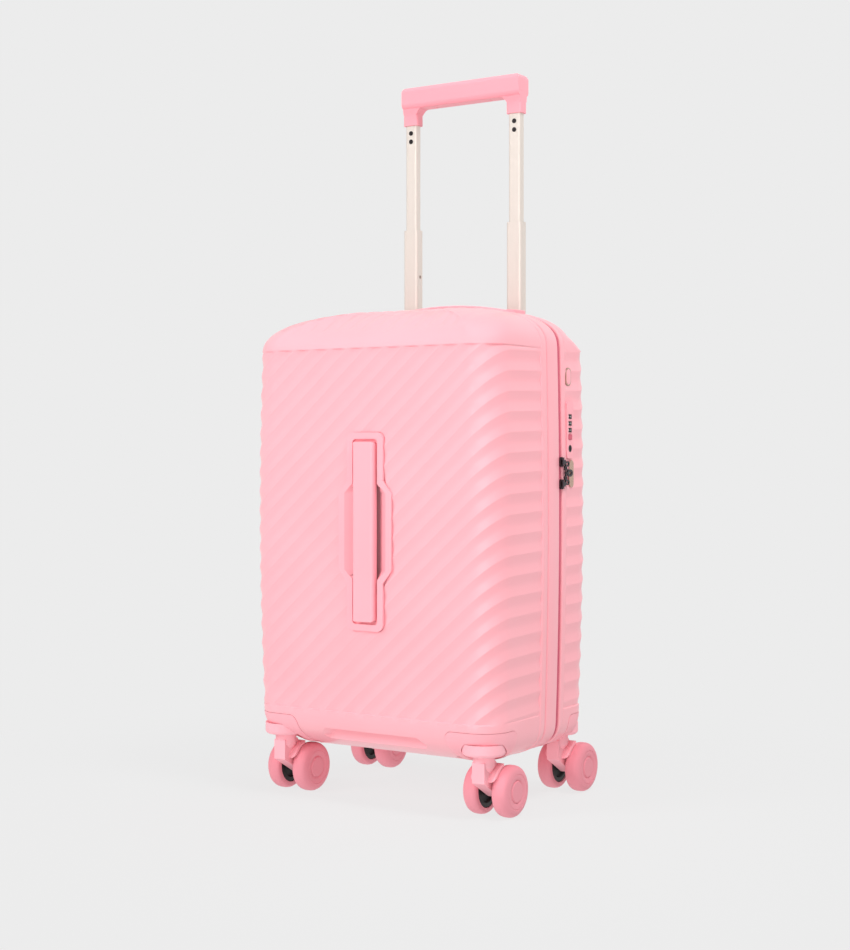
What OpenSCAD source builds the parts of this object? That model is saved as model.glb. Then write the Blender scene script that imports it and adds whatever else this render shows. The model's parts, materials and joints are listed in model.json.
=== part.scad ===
// Cabin suitcase: two ribbed shells, zipper, lock, two pull handles, trolley and four twin casters.
// X runs across the width, Y from the front face to the back, Z up from the floor.
// The origin is on the floor, midway between the four casters' swivel axes.

/* [Case] */
// Width of the case at its widest
case_w = 330; // [310:1:370]
// From the casters' middle plane to the front face
front_reach = 114; // [106:1:124]
// From the casters' middle plane to the rear face
rear_reach = 112; // [108:1:122]
// Underside of the case above the floor
case_bottom = 51; // [49:1:54]
// Top of the case above the floor
case_top = 556; // [530:1:600]
// Radius of the upright corners
corner_r = 34; // [26:1:40]
// Height of the rounding at the top
round_top = 47; // [38:1:52]
// Height of the rounding at the bottom
round_bottom = 46; // [40:1:50]
// How far the rounding reaches across the width
round_reach = 115; // [100:1:125]
// How far the walls bow inwards towards the top and bottom
wall_bow = 3; // [0:0.5:5]
// Wall of the shells
wall = 2.5; // [2:0.1:3.2]

/* [Ribs] */
// Upright distance from one rib to the next
rib_pitch = 21.94; // [16:0.01:30]
// Depth of the flutes between two ribs
rib_depth = 1.6; // [0.8:0.1:2]
// Rise of the ribs across the front
rib_slope = 0.882; // [0.5:0.001:1.1]
// Rise of the ribs along the sides
rib_side_slope = 0.03; // [0:0.01:0.1]
// Height at which a rib crosses the middle of the front
rib_start = 4.7; // [0:0.1:21]
// Upper edge of the smooth band at the bottom
band_bottom = 103.8; // [101:0.1:112]
// Lower edge of the smooth band at the top, below the top of the case
band_top = 48; // [46:0.5:60]

/* [Rims and zipper] */
// Plane in which the two shells part, from the casters' middle plane
split_y = 32; // [28:1:36]
// Gap that the zipper fills
zip_gap = 7; // [6:0.5:9]
// Depth of the front shell's smooth rim
front_rim_d = 38.5; // [34:0.5:44]
// Depth of the rear shell's smooth rim
rear_rim_d = 8.5; // [7:0.5:12]
// Depth of the groove in the front rim
rim_groove = 1.2; // [0.8:0.1:1.6]
// Thickness of the zipper's tape
tape_t = 1.2; // [0.8:0.1:1.5]

/* [Casters] */
// From the side of the case to a swivel axis
caster_inset = 32; // [27:1:40]
// From the middle to a swivel axis, front to back
caster_y = 83.2; // [76:0.2:86]
// Diameter of a wheel
wheel_d = 56; // [50:1:58]
// Width of a wheel
wheel_w = 19; // [15:0.5:21]
// From the caster's middle to a wheel's middle
wheel_offset = 18.2; // [18:0.1:20]
// How far the axle trails behind the swivel axis
trail = 25; // [22:0.5:27]
// Diameter of the axle
axle_d = 6; // [5:0.5:8]
// Diameter of the dust disc under the housing
disc_d = 47; // [40:1:50]
// Height of the dust disc's underside above the floor
disc_z = 69; // [66:0.5:72]
// Thickness of the dust disc
disc_t = 13; // [10:0.5:13]
// Diameter of the neck below the disc
neck_d = 24; // [20:1:28]
// Diameter of the swivel stem
stem_d = 10; // [8:0.5:12]
// Top edge of the corner housing above the floor
plate_top = 95; // [94:0.5:97]
// How far the housing reaches along the front
plate_x = 66; // [60:1:70]
// How far the housing reaches along the side
plate_y = 54; // [50:1:56]

/* [Handles] */
// Length of the front handle's bar
bar_l = 197.4; // [170:0.1:220]
// Width of the front handle's bar
bar_w = 27.4; // [22:0.2:30]
// Thickness of the bars
bar_t = 9; // [7:0.5:11]
// Height of the front handle's middle above the floor
handle_z = 305.8; // [280:0.2:330]
// How far the front bar stands out of its bezel
bar_proud = 5; // [3:0.5:6]
// Width of the band round the bar
bezel_band = 7.5; // [6:0.5:9]
// Depth of the pocket behind the bar
pocket_d = 16; // [16:0.5:18]
// How far a handle pulls out
handle_pull = 8; // [6:1:8]
// From the casters' middle plane to the top handle
top_handle_y = 62; // [60:0.5:64]
// Length of the top handle's bar
top_bar_l = 180; // [150:1:190]
// Width of the top handle's bar
top_bar_w = 20; // [17:0.5:22]

/* [Trolley] */
// From the middle to a tube's axis
tube_x = 72.5; // [64:0.5:78]
// From the casters' middle plane to the tubes
tube_y = 93.5; // [93:0.5:95]
// Outer width of the outer tubes
outer_tube_w = 23.4; // [22.6:0.1:24]
// Outer width of the middle tubes
middle_tube_w = 20; // [19:0.1:20.6]
// Outer width of the upper tubes
upper_tube_w = 16.4; // [15:0.1:17]
// Wall of the tubes
tube_wall = 1.2; // [1:0.1:1.4]
// Height of the middle tubes' top above the floor
middle_top = 663.7; // [640:0.1:680]
// Height of the grip's top above the floor
grip_top = 837.6; // [825:0.1:850]
// From the grip's top down to the lower end of its legs
grip_leg = 45.9; // [40:0.1:60]
// Half the length of the grip
grip_half = 82; // [78:1:92]
// Length of the middle tubes
middle_l = 410; // [400:5:460]
// Length of the upper tubes
upper_l = 400; // [360:5:420]
// Depth of the grip's bar, front to back
grip_d = 24; // [22:0.5:28]
// Height of the grip's bar
grip_h = 26; // [22:0.5:30]

/* [Lock] */
// Height of the lock's middle above the floor
lock_z = 418; // [400:1:430]
// Length of the lock plate
lock_l = 64; // [60:1:70]
// Width of the lock plate
lock_w = 15; // [14:0.5:16]
// Diameter of a number dial
dial_d = 13; // [11:0.5:14]
// Thickness of a number dial
dial_t = 4.6; // [4:0.1:5]
// Distance from one dial to the next
dial_pitch = 7.6; // [7:0.1:8]

/* [Hidden] */
$fn = 64;
clear = 0.4;
fit = 0.05;
shell_color = "#F7B3BC";
deep_color = "#E58A98";
metal_color = "#D8CBBF";
dark_color = "#2A2628";
fabric_color = "#C9BFC0";
front_rim_y = split_y - zip_gap / 2;
rear_rim_y = split_y + zip_gap / 2;
front_shell_y = front_rim_y - front_rim_d;
rear_shell_y = rear_rim_y + rear_rim_d;
widest_rise = 279;
widest_z = case_bottom + widest_rise;
bow_span = 200;
band_hi = case_top - band_top;

coil_gap = 0.15;
tape_in = wall + 0.1;
hinge_z = [130, 480];
// How the top leans back at the middle and at the corners, and how far its corners swell
top_front = [0.65, 0.87, 12];
top_rear = [1.6, 0.4, 52];
rim_lip = 0.5;

// Caster heights and places
caster_x = case_w / 2 - caster_inset;
ceiling_z = disc_z + disc_t + clear;
well_r = sqrt(pow(trail, 2) + pow(wheel_offset + wheel_w / 2, 2)) + 2.8;
well_z = wheel_d + 2.5;
swing_r = well_r + 5;
swing_z = wheel_d - 0.2;
axle_z = wheel_d / 2;
hood_r = wheel_d / 2 + 0.8;
hood_t = 3;
hood_half = 15.2;
hood_low = 41;
hood_low_y = trail - sqrt(pow(hood_r, 2) - pow(hood_low - axle_z, 2));
web_t = 2 * (wheel_offset - wheel_w / 2) - 2;
housing_wall = 3;
corner_at = [[-caster_x, -caster_y], [caster_x, -caster_y], [-caster_x, caster_y], [caster_x, caster_y]];

// Grab recess
grab_half = 90;
grab_top = case_bottom + 32.6;
grab_d = 24;
grab_lead = 4;
grab_taper = 0.74;

// Front handle
bezel_y = -front_reach - 1.6;
open_narrow = bar_w / 2 + 2.8;
open_wide = open_narrow + 11.1;
open_half = bar_l / 2 + 2.9;
wide_half = 42.3;
narrow_half = 56;
flare_d = 10;
channel_half = bar_w / 2 + 0.9;
block_half = 70;
block_d = 4.6;
foot_l = 14;
foot_inset = 1.5;
foot_reach = block_d + handle_pull + 2;

// Top handle
top_bezel_z = case_top + 1;
top_bar_z = top_bezel_z + 8.4;
top_bow_r = 417;
top_bar_t = 8;
top_open_x = top_bar_l / 2 + 2.5;
top_open_y = top_bar_w / 2 + 2;
top_band = 4;

// Trolley
tube_flat = 6;
grip_bottom = grip_top - grip_leg;
screw_drop = [9.2, 19.4];
screw_head = 5.6;
screw_head_h = 0.4;
grip_hole_x = 38;
leg_flare = 8;
button_sink = 0.1;
screw_d = 2.6;
tray_top = case_top - 4.5;
tray_floor = tray_top - 28;
tray_bottom = tray_floor - 5;
tray_front = tube_y - 14.8;
tray_back = rear_reach - 3.4;
tray_x = tube_x + 23.5;
outer_bottom = 100;

// Lock
lock_y = rear_shell_y + 0.8 + lock_w / 2;
side_x = case_w / 2;
lock_face = side_x + 0.6;
plate_gap = 0.15;
dial_x = lock_face + 0.8 - dial_d / 2;
dial_z = lock_z + 7.4;
badge_z = lock_z + 60;
slider_z = [lock_z - 36, lock_z - 61];
pull_x = side_x + 2.9;
pull_y = split_y - 0.6;
pull_t = 1.5;
pull_pin = 1.2;
pull_eye = [pull_y + 9.2, 2.2];
pull_loop = [pull_y + 5.6, 7];
pull_reach = (slider_z[0] - slider_z[1]) / 2;

// Linings
pocket_inset = 30;
pocket_drop = 130;
strap_inset = 35;
strap_w = 25;
buckle_w = 50;
buckle_h = 34;
lining_x = case_w / 2 - 15;
lining_low = plate_top + 3;
lining_high = case_top - 36;
lining_t = 1.2;
front_lining_y = -front_reach + 19;
rear_lining_y = tray_front - 3.6;

// ---------- outline of the case ----------

// Inward bow of the walls at height z
function bow(z) = wall_bow * pow((z - widest_z) / bow_span, 2);

// Rise of a rounding at share s of its reach
function cap(s, n) = pow(1 - pow(1 - s, n), 1 / n);

// A level is [height, share in x, share in y, how the top leans], with the wall inset by off
function low_level(s, off) =
  [case_bottom + off + round_bottom * (1 - cap(s, 2)), pow(s, 1.6), s, []];
function high_level(s, off, top = [1, 1, 0]) =
  [case_top - off - round_top * (1 - cap(s, 2.25)), pow(s, 1.1), s, top];

// Half the width of the case at a level
function half_w(level, off) = case_w / 2 - off - bow(level[0]) - round_reach * level[1];

rib_runout = 4;
rear_start = rib_start + rib_slope * case_w + rib_side_slope * (front_reach + rear_reach);
cap_steps = 6;
cap_shares = [for (i = [0 : cap_steps]) pow(i / cap_steps, 2)];
mid_heights = [200, widest_z, 430];

function plain_levels(off, top = [1, 1, 0]) = concat(
  [for (i = [cap_steps : -1 : 0]) low_level(cap_shares[i], off)],
  [for (z = mid_heights) [z, 0, 0, []]],
  [for (i = [0 : cap_steps]) high_level(cap_shares[i], off, top)]);

// Outline of the rim plane, as seen from the front
function rim_outline(off) = let(levels = plain_levels(off), n = len(levels)) concat(
  [for (i = [0 : n - 1]) [half_w(levels[i], off), levels[i][0]]],
  [for (i = [n - 1 : -1 : 0]) [-half_w(levels[i], off), levels[i][0]]]);

// A column is [kind, value, side]: 0 on a side wall, 1 in a corner, 2 on the face
corner_steps = 5;
face_steps = 16;
function columns(flat_share, faces) = concat(
  [[0, 0, -1], [0, flat_share, -1]],
  [for (i = [0 : corner_steps]) [1, 90 * i / corner_steps, -1]],
  [for (i = [1 : faces - 1]) [2, 2 * i / faces - 1, 0]],
  [for (i = [corner_steps : -1 : 0]) [1, 90 * i / corner_steps, 1]],
  [[0, flat_share, 1], [0, 0, 1]]);

// Share in y of a level at a column: the top leans more towards the corners
function y_share(column, level) = level[3] == [] ? level[2] :
  let(w = column[0] == 2 ? pow(abs(column[1]), 6) : 1)
  pow(level[2], level[3][0] + (level[3][1] - level[3][0]) * w);

// Radius of the upright corners at a level, with room for it in y
function corner_at_level(level, room, off) = let(r = max(corner_r - off, 1))
  level[3] == [] ? r * (1 - level[2]) : min(r + level[3][2] * sqrt(level[2]), 0.94 * room);

// A point of a shell: face at y = -reach, open at y = rim, pressed in by d
function shell_point(column, level, d, reach, rim, off) = let(
  s = y_share(column, level),
  s_corner = y_share([1], level),
  hw = half_w(level, off),
  b = bow(level[0]),
  depth = reach - off + rim - b,
  yf = rim - depth * (1 - s),
  r = corner_at_level(level, depth * (1 - s_corner), off),
  yc = yf + r)
  column[0] == 0 ? [column[2] * (hw - d), rim + column[1] * (yc - rim), level[0]] :
  column[0] == 1 ? [column[2] * (hw - r + (r - d) * cos(column[1])), yc - (r - d) * sin(column[1]),
                    level[0]] :
  [column[1] * (hw - r), yf + d, level[0]];

// ---------- ribs ----------

// Share of the pitch and depth of the points of one flute, upwards from a rib's edge
flute = [[0, 0], [0.32, 1], [0.68, 1]];
flute_n = len(flute);

// Rise of the ribs at a point of the plan outline
function rib_rise(p, reach) = rib_slope * p[0] + sign(p[0]) * rib_side_slope * (p[1] + reach);

// Depth of the flutes at height z where the ribs have risen by h
function flute_depth(z, h) = let(f = (z - h) / rib_pitch - floor((z - h) / rib_pitch))
  rib_depth * (f < flute[1][0] ? f / flute[1][0] : f < flute[2][0] ? 1 : (1 - f) / (1 - flute[2][0]));

function rib_z(k, h) = h + rib_pitch * (floor(k / flute_n) + flute[k - flute_n * floor(k / flute_n)][0]);

// ---------- shells ----------

// Rows run from the bottom rim over the face to the top rim, columns from the left rim to the right rim
module ribbed_shell(reach, rim, start, top) {
  cols = columns(rib_runout / (rim + reach - corner_r), face_steps);
  nc = len(cols);
  end = nc - 1;
  first = corner_steps + 2;
  last = end - first;
  rise = [for (c = cols) start + rib_rise(shell_point(c, [widest_z, 0, 0, []], 0, reach, rim, 0), reach)];
  k0 = flute_n * floor((band_bottom - max(rise)) / rib_pitch);
  k1 = flute_n * ceil((band_hi - min(rise)) / rib_pitch);
  nk = k1 - k0;
  lo = cap_steps + 2;
  hi = lo + nk + 1;
  nr = hi + cap_steps + 3;
  row_at = function(r, c)
    r <= cap_steps ? low_level(cap_shares[cap_steps - r], 0) :
    r == lo - 1 ? [band_bottom - 0.8, 0, 0, []] :
    r == lo ? [band_bottom, 0, 0, []] :
    r < hi ? [rib_z(k0 + r - lo - 1, rise[c]), 0, 0, []] :
    r == hi ? [band_hi, 0, 0, []] :
    r == hi + 1 ? [band_hi + 0.8, 0, 0, []] :
    high_level(cap_shares[r - hi - 2], 0, top);
  open = function(c) c == 0 || c == end;
  depth_at = function(r, c, z)
    r < lo || r > hi || open(c) ? 0 :
    r == lo || r == hi ? flute_depth(z, rise[c]) : rib_depth * flute[(r - lo - 1) % flute_n][1];
  points = [for (r = [0 : nr - 1]) for (c = [0 : nc - 1])
    let(level = row_at(r, c)) shell_point(cols[c], level, depth_at(r, c, level[0]), reach, rim, 0)];
  // Rows that the bands cut off share the band's edge
  row_of = function(r, c) r > lo && r < hi ?
    (row_at(r, c)[0] < band_bottom + 0.3 ? lo : row_at(r, c)[0] > band_hi - 0.3 ? hi : r) : r;
  // The first and last rows run along the rim between the corners only
  id = function(r, c) row_of(r, c) * nc + (r == 0 || r == nr - 1 ? max(first, min(last, c)) : c);
  inner = plain_levels(wall, top);
  ni = len(inner);
  base = nr * nc;
  inner_points = [for (j = [0 : ni - 1]) for (c = [0 : nc - 1])
    shell_point(cols[c], inner[j], 0, reach, rim, wall)];
  iid = function(j, c) base + j * nc + (j == 0 || j == ni - 1 ? max(first, min(last, c)) : c);
  // Inner level that a row's end at the rim is joined to
  join = function(r, c) r <= cap_steps ? r :
    r > hi + 1 ? r - hi - 2 + cap_steps + 1 + len(mid_heights) :
    cap_steps + len([for (z = mid_heights) if (z <= min(row_at(r, c)[0], band_hi)) z]);
  quad = function(a, b, c, d) [[a, b, c], [a, c, d]];
  faces = concat(
    [for (r = [0 : nr - 2]) for (c = [0 : nc - 2])
      each quad(id(r, c), id(r + 1, c), id(r + 1, c + 1), id(r, c + 1))],
    [for (j = [0 : ni - 2]) for (c = [0 : nc - 2])
      each quad(iid(j, c), iid(j, c + 1), iid(j + 1, c + 1), iid(j + 1, c))],
    [for (r = [0 : nr - 2])
      each quad(id(r, 0), iid(join(r, 0), 0), iid(join(r + 1, 0), 0), id(r + 1, 0))],
    [for (r = [0 : nr - 2])
      each quad(id(r, end), id(r + 1, end), iid(join(r + 1, end), end), iid(join(r, end), end))],
    [for (c = [first : last - 1])
      each quad(iid(ni - 1, c), iid(ni - 1, c + 1), id(nr - 1, c + 1), id(nr - 1, c))],
    [for (c = [first : last - 1])
      each quad(id(0, c), id(0, c + 1), iid(0, c + 1), iid(0, c))]);
  polyhedron(concat(points, inner_points),
    [for (f = faces) if (f[0] != f[1] && f[1] != f[2] && f[0] != f[2]) f], convexity = 6);
}

// A ring that follows the rim's outline from y0 to y1, between two insets
module rim_ring(y0, y1, outer, inner) {
  translate([0, y1, 0])
    rotate([90, 0, 0])
      linear_extrude(y1 - y0)
        difference() {
          polygon(rim_outline(outer));
          polygon(rim_outline(inner));
        }
}

// The lower part of the case as a plain solid, up to the lowest of the middle heights
module plain_case(reach, rim, off) {
  cols = columns(0.5, 1);
  nc = len(cols);
  levels = concat(
    [for (i = [cap_steps : -1 : 0]) low_level(cap_shares[i], off)],
    [[mid_heights[0], 0, 0, []]]);
  nr = len(levels);
  mid = nc / 2;
  points = [for (level = levels) for (c = cols) shell_point(c, level, 0, reach, rim, off)];
  id = function(r, c) r * nc + (r == 0 ? (c < mid ? mid - 1 : mid) : c);
  quad = function(a, b, c, d) [[a, b, c], [a, c, d]];
  faces = concat(
    [for (r = [0 : nr - 2]) for (c = [0 : nc - 2])
      each quad(id(r, c), id(r + 1, c), id(r + 1, c + 1), id(r, c + 1))],
    [for (r = [0 : nr - 2])
      each quad(id(r, 0), id(r, nc - 1), id(r + 1, nc - 1), id(r + 1, 0))],
    [for (c = [1 : nc - 2]) [id(nr - 1, 0), id(nr - 1, c + 1), id(nr - 1, c)]]);
  polyhedron(points, [for (f = faces) if (f[0] != f[1] && f[1] != f[2] && f[0] != f[2]) f], convexity = 4);
}

// ---------- small helpers ----------

// Rounded rectangle from one corner to the other
module rounded(x0, y0, x1, y1, r) {
  translate([x0 + r, y0])
    square([x1 - x0 - 2 * r, y1 - y0]);
  translate([x0, y0 + r])
    square([x1 - x0, y1 - y0 - 2 * r]);
  for (x = [x0 + r, x1 - r], y = [y0 + r, y1 - r])
    translate([x, y])
      circle(r);
}

// Extrudes a shape drawn in X and Z from y0 to y1
module along_y(y0, y1) {
  translate([0, y1, 0])
    rotate([90, 0, 0])
      linear_extrude(y1 - y0)
        children();
}

// Extrudes a shape drawn in Y and Z from x0 to x1
module along_x(x0, x1) {
  translate([x0, 0, 0])
    rotate([90, 0, 90])
      linear_extrude(x1 - x0)
        children();
}

module along_z(z0, z1) {
  translate([0, 0, z0])
    linear_extrude(z1 - z0)
      children();
}

// ---------- corner housings ----------

// Space that a corner housing takes out of a shell up to a height, grown by g
module corner_space(reach, top, g) {
  intersection() {
    along_y(-reach - 20, 0)
      rounded(case_w / 2 - plate_x - g, 20, case_w / 2 + 30, top + g, 9 + g);
    along_x(0, case_w / 2 + 20)
      rounded(-reach - 30, 20, -reach + plate_y + g, top + g, 9 + g);
  }
}

// Space under which the wheels swing, grown by g
module wheel_space(g) {
  translate([caster_x, -caster_y, 20])
    cylinder(r = well_r + g, h = well_z + g - 20);
}

// Space in which the dust disc turns, grown by g
module disc_space(g) {
  translate([caster_x, -caster_y, 20])
    cylinder(r = disc_d / 2 + 2 * clear + g, h = ceiling_z + g - 20);
}

// Everything that a housing takes out of a shell
module housing_cut(reach) {
  corner_space(reach, plate_top, clear);
  wheel_space(wall + clear);
  disc_space(wall + clear);
}

// One corner housing, at the front right of a shell
module corner_housing(reach, rim) {
  difference() {
    intersection() {
      plain_case(reach, rim, -0.3);
      union() {
        corner_space(reach, plate_top, 0);
        wheel_space(wall);
        disc_space(wall);
      }
    }
    difference() {
      intersection() {
        plain_case(reach, rim, housing_wall);
        corner_space(reach, plate_top + 20, -housing_wall);
      }
      wheel_space(wall);
      disc_space(wall);
      translate([caster_x, -caster_y, 0])
        cylinder(d = stem_d + 2 * housing_wall, h = plate_top);
    }
    wheel_space(0);
    disc_space(0);
    translate([caster_x, -caster_y, 20])
      cylinder(r = swing_r, h = swing_z - 20);
    translate([caster_x, -caster_y, ceiling_z - 1])
      cylinder(d = stem_d + 2 * fit, h = plate_top - ceiling_z - 1);
  }
}

module both_sides() {
  children();
  mirror([1, 0, 0])
    children();
}

// ---------- front shell ----------

// Grab recess under the front edge, narrower at its back, grown by g
module grab_recess(g) {
  translate([0, -front_reach - grab_lead, 0])
    rotate([90, 0, 0])
      mirror([0, 0, 1])
        linear_extrude(grab_d + grab_lead + g, scale = [grab_taper, 1], slices = 1)
          polygon([[-grab_half - g, 20], [-grab_half - g + 4, grab_top - 9],
                   [-grab_half - g + 20, grab_top + g], [grab_half + g - 20, grab_top + g],
                   [grab_half + g - 4, grab_top - 9], [grab_half + g, 20]]);
}

// Outline round the front handle, with a narrow and a wide half-width and a half-length
module handle_outline(narrow, wide, half, r) {
  translate([0, handle_z])
    offset(r)
      offset(delta = -r)
        polygon([[narrow, -half], [narrow, -narrow_half], [wide, -wide_half], [wide, wide_half],
                 [narrow, narrow_half], [narrow, half], [-narrow, half], [-narrow, narrow_half],
                 [-wide, wide_half], [-wide, -wide_half], [-narrow, -narrow_half], [-narrow, -half]]);
}

module bezel_outline(g) {
  handle_outline(open_narrow + bezel_band + g, open_wide + bezel_band + g, open_half + bezel_band + g, 8);
}

module front_shell() {
  color(shell_color) {
    difference() {
      ribbed_shell(front_reach, front_shell_y, rib_start, top_front);
      along_y(-front_reach - 10, -front_reach + 12)
        bezel_outline(clear);
      both_sides()
        housing_cut(front_reach);
      grab_recess(0);
    }
    difference() {
      intersection() {
        plain_case(front_reach, front_shell_y, 0.3);
        grab_recess(wall);
      }
      grab_recess(0);
    }
  }
}

module front_rim() {
  color(shell_color) {
    rim_ring(front_shell_y, front_shell_y + 10.5, -rim_lip, wall);
    rim_ring(front_shell_y + 10.5, front_shell_y + 14, rim_groove, wall);
    rim_ring(front_shell_y + 14, front_rim_y, 0, wall);
  }
}

// Tape with half of the zipper's coil: the tape from y0 to y1, the coil from y2 to y3
module zipper_tape(y0, y1, y2, y3) {
  rim_ring(y0, y1, tape_in, tape_in + tape_t);
  difference() {
    rim_ring(y2, y3, wall - 1.4, tape_in);
    translate([-case_w / 2 - 5, y2 - 1, hinge_z[0]])
      cube([20, y3 - y2 + 2, hinge_z[1] - hinge_z[0]]);
  }
}

module front_zipper_tape() {
  color(deep_color)
    zipper_tape(front_rim_y - 10.5, split_y - coil_gap, split_y - 2, split_y - coil_gap);
}

// Tray of cloth: closed at y0, open at y1, with a hem at y2
module lining(y0, y1, y2) {
  lo = min(y0, y1);
  difference() {
    along_y(lo, max(y0, y1))
      rounded(-lining_x, lining_low, lining_x, lining_high, 36);
    along_y(y0 < y1 ? lo + lining_t : lo - 1, y0 < y1 ? y1 + 1 : y0 - lining_t)
      rounded(-lining_x + lining_t, lining_low + lining_t, lining_x - lining_t, lining_high - lining_t,
              36 - lining_t);
  }
  along_y(y2, y2 + lining_t)
    difference() {
      polygon(rim_outline(tape_in));
      rounded(-lining_x + lining_t, lining_low + lining_t, lining_x - lining_t, lining_high - lining_t,
              36 - lining_t);
    }
}

module front_lining() {
  color(fabric_color)
    lining(front_lining_y, front_rim_y - 10.5, front_rim_y - 10.5 - lining_t);
}

// Flat pocket on the floor of the front lining
module front_pocket() {
  color(fabric_color)
    along_y(front_lining_y + lining_t, front_lining_y + 2 * lining_t)
      rounded(-lining_x + pocket_inset, lining_low + pocket_inset, lining_x - pocket_inset,
              lining_high - pocket_drop, 12);
}

module front_caster_housings() {
  color(shell_color)
    both_sides()
      corner_housing(front_reach, front_shell_y);
}

module front_handle_bezel() {
  back_y = bezel_y + pocket_d;
  color(shell_color)
    difference() {
      union() {
        along_y(bezel_y, -front_reach + 6.2)
          bezel_outline(0);
        along_y(-front_reach + 4.2, -front_reach + 6.2)
          bezel_outline(3);
        along_y(bezel_y + 1, back_y + 2)
          handle_outline(open_narrow + 2.2, open_wide + 2.2, open_half + 2.2, 4);
      }
      along_y(bezel_y - 1, bezel_y + block_d)
        handle_outline(open_narrow, open_narrow, open_half, 4);
      along_y(bezel_y, back_y)
        rounded(-channel_half, handle_z - block_half, channel_half, handle_z + block_half, 3);
      handle_flare();
      for (s = [-1, 1])
        translate([0, 0, handle_z + s * (bar_l - foot_l) / 2])
          along_y(bezel_y, back_y)
            handle_foot(clear);
    }
}

// Sloping sides of the pocket beside the front bar, drawn from just outside the bezel's face
module handle_flare() {
  lead = 0.5;
  inside = channel_half - 1;
  x = open_wide + lead * (open_wide - inside) / flare_d;
  translate([0, bezel_y - lead, handle_z])
    rotate([90, 0, 0])
      mirror([0, 0, 1])
        linear_extrude(flare_d + lead, scale = [inside / x, 1], slices = 1)
          polygon([[inside, -narrow_half], [x, -wide_half], [x, wide_half], [inside, narrow_half],
                   [-inside, narrow_half], [-x, wide_half], [-x, -wide_half], [-inside, -narrow_half]]);
}

// Section of a foot of the front bar, grown by g
module handle_foot(g) {
  rounded(-bar_w / 2 + foot_inset - g, -foot_l / 2 + foot_inset / 3 - g, bar_w / 2 - foot_inset + g,
          foot_l / 2 - foot_inset / 3 + g, 2);
}

module front_handle_bar() {
  color(shell_color)
    translate([0, bezel_y - bar_proud, handle_z]) {
      intersection() {
        along_y(0, bar_t)
          rounded(-bar_w / 2, -bar_l / 2, bar_w / 2, bar_l / 2, 3.5);
        along_z(-bar_l / 2, bar_l / 2)
          rounded(-bar_w / 2, 0, bar_w / 2, bar_t + 8, 3.5);
      }
      for (s = [-1, 1])
        translate([0, 0, s * (bar_l - foot_l) / 2])
          along_y(bar_t - 1, bar_proud + foot_reach)
            handle_foot(0);
    }
}

// ---------- rear shell ----------

module rear_shell() {
  color(shell_color)
    difference() {
      rotate([0, 0, 180])
        ribbed_shell(rear_reach, -rear_shell_y, rear_start, top_rear);
      mirror([0, 1, 0])
        both_sides()
          housing_cut(rear_reach);
      along_z(tray_bottom - clear, case_top + 20)
        rounded(-tray_x - clear, tray_front - clear, tray_x + clear, rear_reach + 40, 5);
      along_z(case_top - 40, case_top + 20)
        top_handle_outline(top_band + clear);
      along_x(side_x - 20, side_x + 20)
        lock_outline(plate_gap);
      along_x(badge_x - 1 - 0.05, side_x + 20)
        badge_outline(0.2);
    }
}

module rear_rim() {
  color(shell_color)
    rim_ring(rear_rim_y, rear_shell_y, 0, wall);
}

module rear_zipper_tape() {
  color(deep_color)
    zipper_tape(split_y + coil_gap, rear_shell_y - 0.6, split_y + coil_gap, split_y + 2);
}

module rear_lining() {
  color(fabric_color)
    difference() {
      lining(rear_lining_y, rear_shell_y - 0.6, rear_shell_y - 0.6);
      mirror([0, 1, 0])
        both_sides()
          wheel_space(wall + clear);
      translate([side_x - 18, rear_rim_y, lock_z - lock_l / 2 - 2 - 34])
        cube([30, lock_w + 14, lock_l + 4 + 34]);
    }
}

strap_span = [2 * (lining_x - strap_inset), lining_high - lining_low - 2 * strap_inset];

module packing_straps() {
  color(dark_color)
    along_y(rear_lining_y - lining_t - 1.6, rear_lining_y - lining_t)
      translate([0, (lining_high + lining_low) / 2])
        for (s = [-1, 1])
          rotate(s * atan2(strap_span[1], strap_span[0]))
            square([norm(strap_span), strap_w], center = true);
  color(shell_color)
    along_y(rear_lining_y - lining_t - 9.6, rear_lining_y - lining_t - 1.6)
      translate([0, (lining_high + lining_low) / 2])
        rounded(-buckle_w / 2, -buckle_h / 2, buckle_w / 2, buckle_h / 2, 6);
}

module rear_caster_housings() {
  color(shell_color)
    mirror([0, 1, 0])
      both_sides()
        corner_housing(rear_reach, -rear_shell_y);
}

// Cloth hinge across the gap on the left side
module hinge_gusset() {
  color(deep_color)
    intersection() {
      rim_ring(front_rim_y + 0.3, rear_rim_y - 0.3, -1.2, -0.2);
      translate([-case_w / 2 - 10, 0, hinge_z[0]])
        cube([60, 60, hinge_z[1] - hinge_z[0]]);
    }
}

// ---------- lock ----------

badge_x = side_x - bow(badge_z) - 1.5;

module lock_outline(g) {
  rounded(lock_y - lock_w / 2 - g, lock_z - lock_l / 2 - g, lock_y + lock_w / 2 + g,
          lock_z + lock_l / 2 + g, 3 + g);
}

module badge_outline(g) {
  rounded(lock_y - 6 - g, badge_z - 10 - g, lock_y + 6 + g, badge_z + 10 + g, 5 + g);
}

module lock_body() {
  color(shell_color)
    difference() {
      along_x(side_x - 14, lock_face)
        lock_outline(0);
      for (i = [-1 : 1])
        translate([dial_x, lock_y, dial_z + i * dial_pitch - dial_t / 2 - 0.3])
          difference() {
            cylinder(d = dial_d + 0.8, h = dial_t + 0.6);
            translate([0, 0, -1])
              cylinder(d = 3, h = dial_t + 3);
          }
      along_x(side_x - 9, lock_face + 1)
        rounded(lock_y - 4.3, lock_z - 11.3, lock_y + 4.3, lock_z - 4.7, 1.5);
      translate([side_x - 9, lock_y, lock_z - 21])
        rotate([0, 90, 0])
          cylinder(d = 8 + 2 * fit, h = 12);
    }
}

module lock_button() {
  color(deep_color)
    along_x(side_x - 7, lock_face + 0.6)
      rounded(lock_y - 4, lock_z - 11, lock_y + 4, lock_z - 5, 1.2);
}

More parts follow.
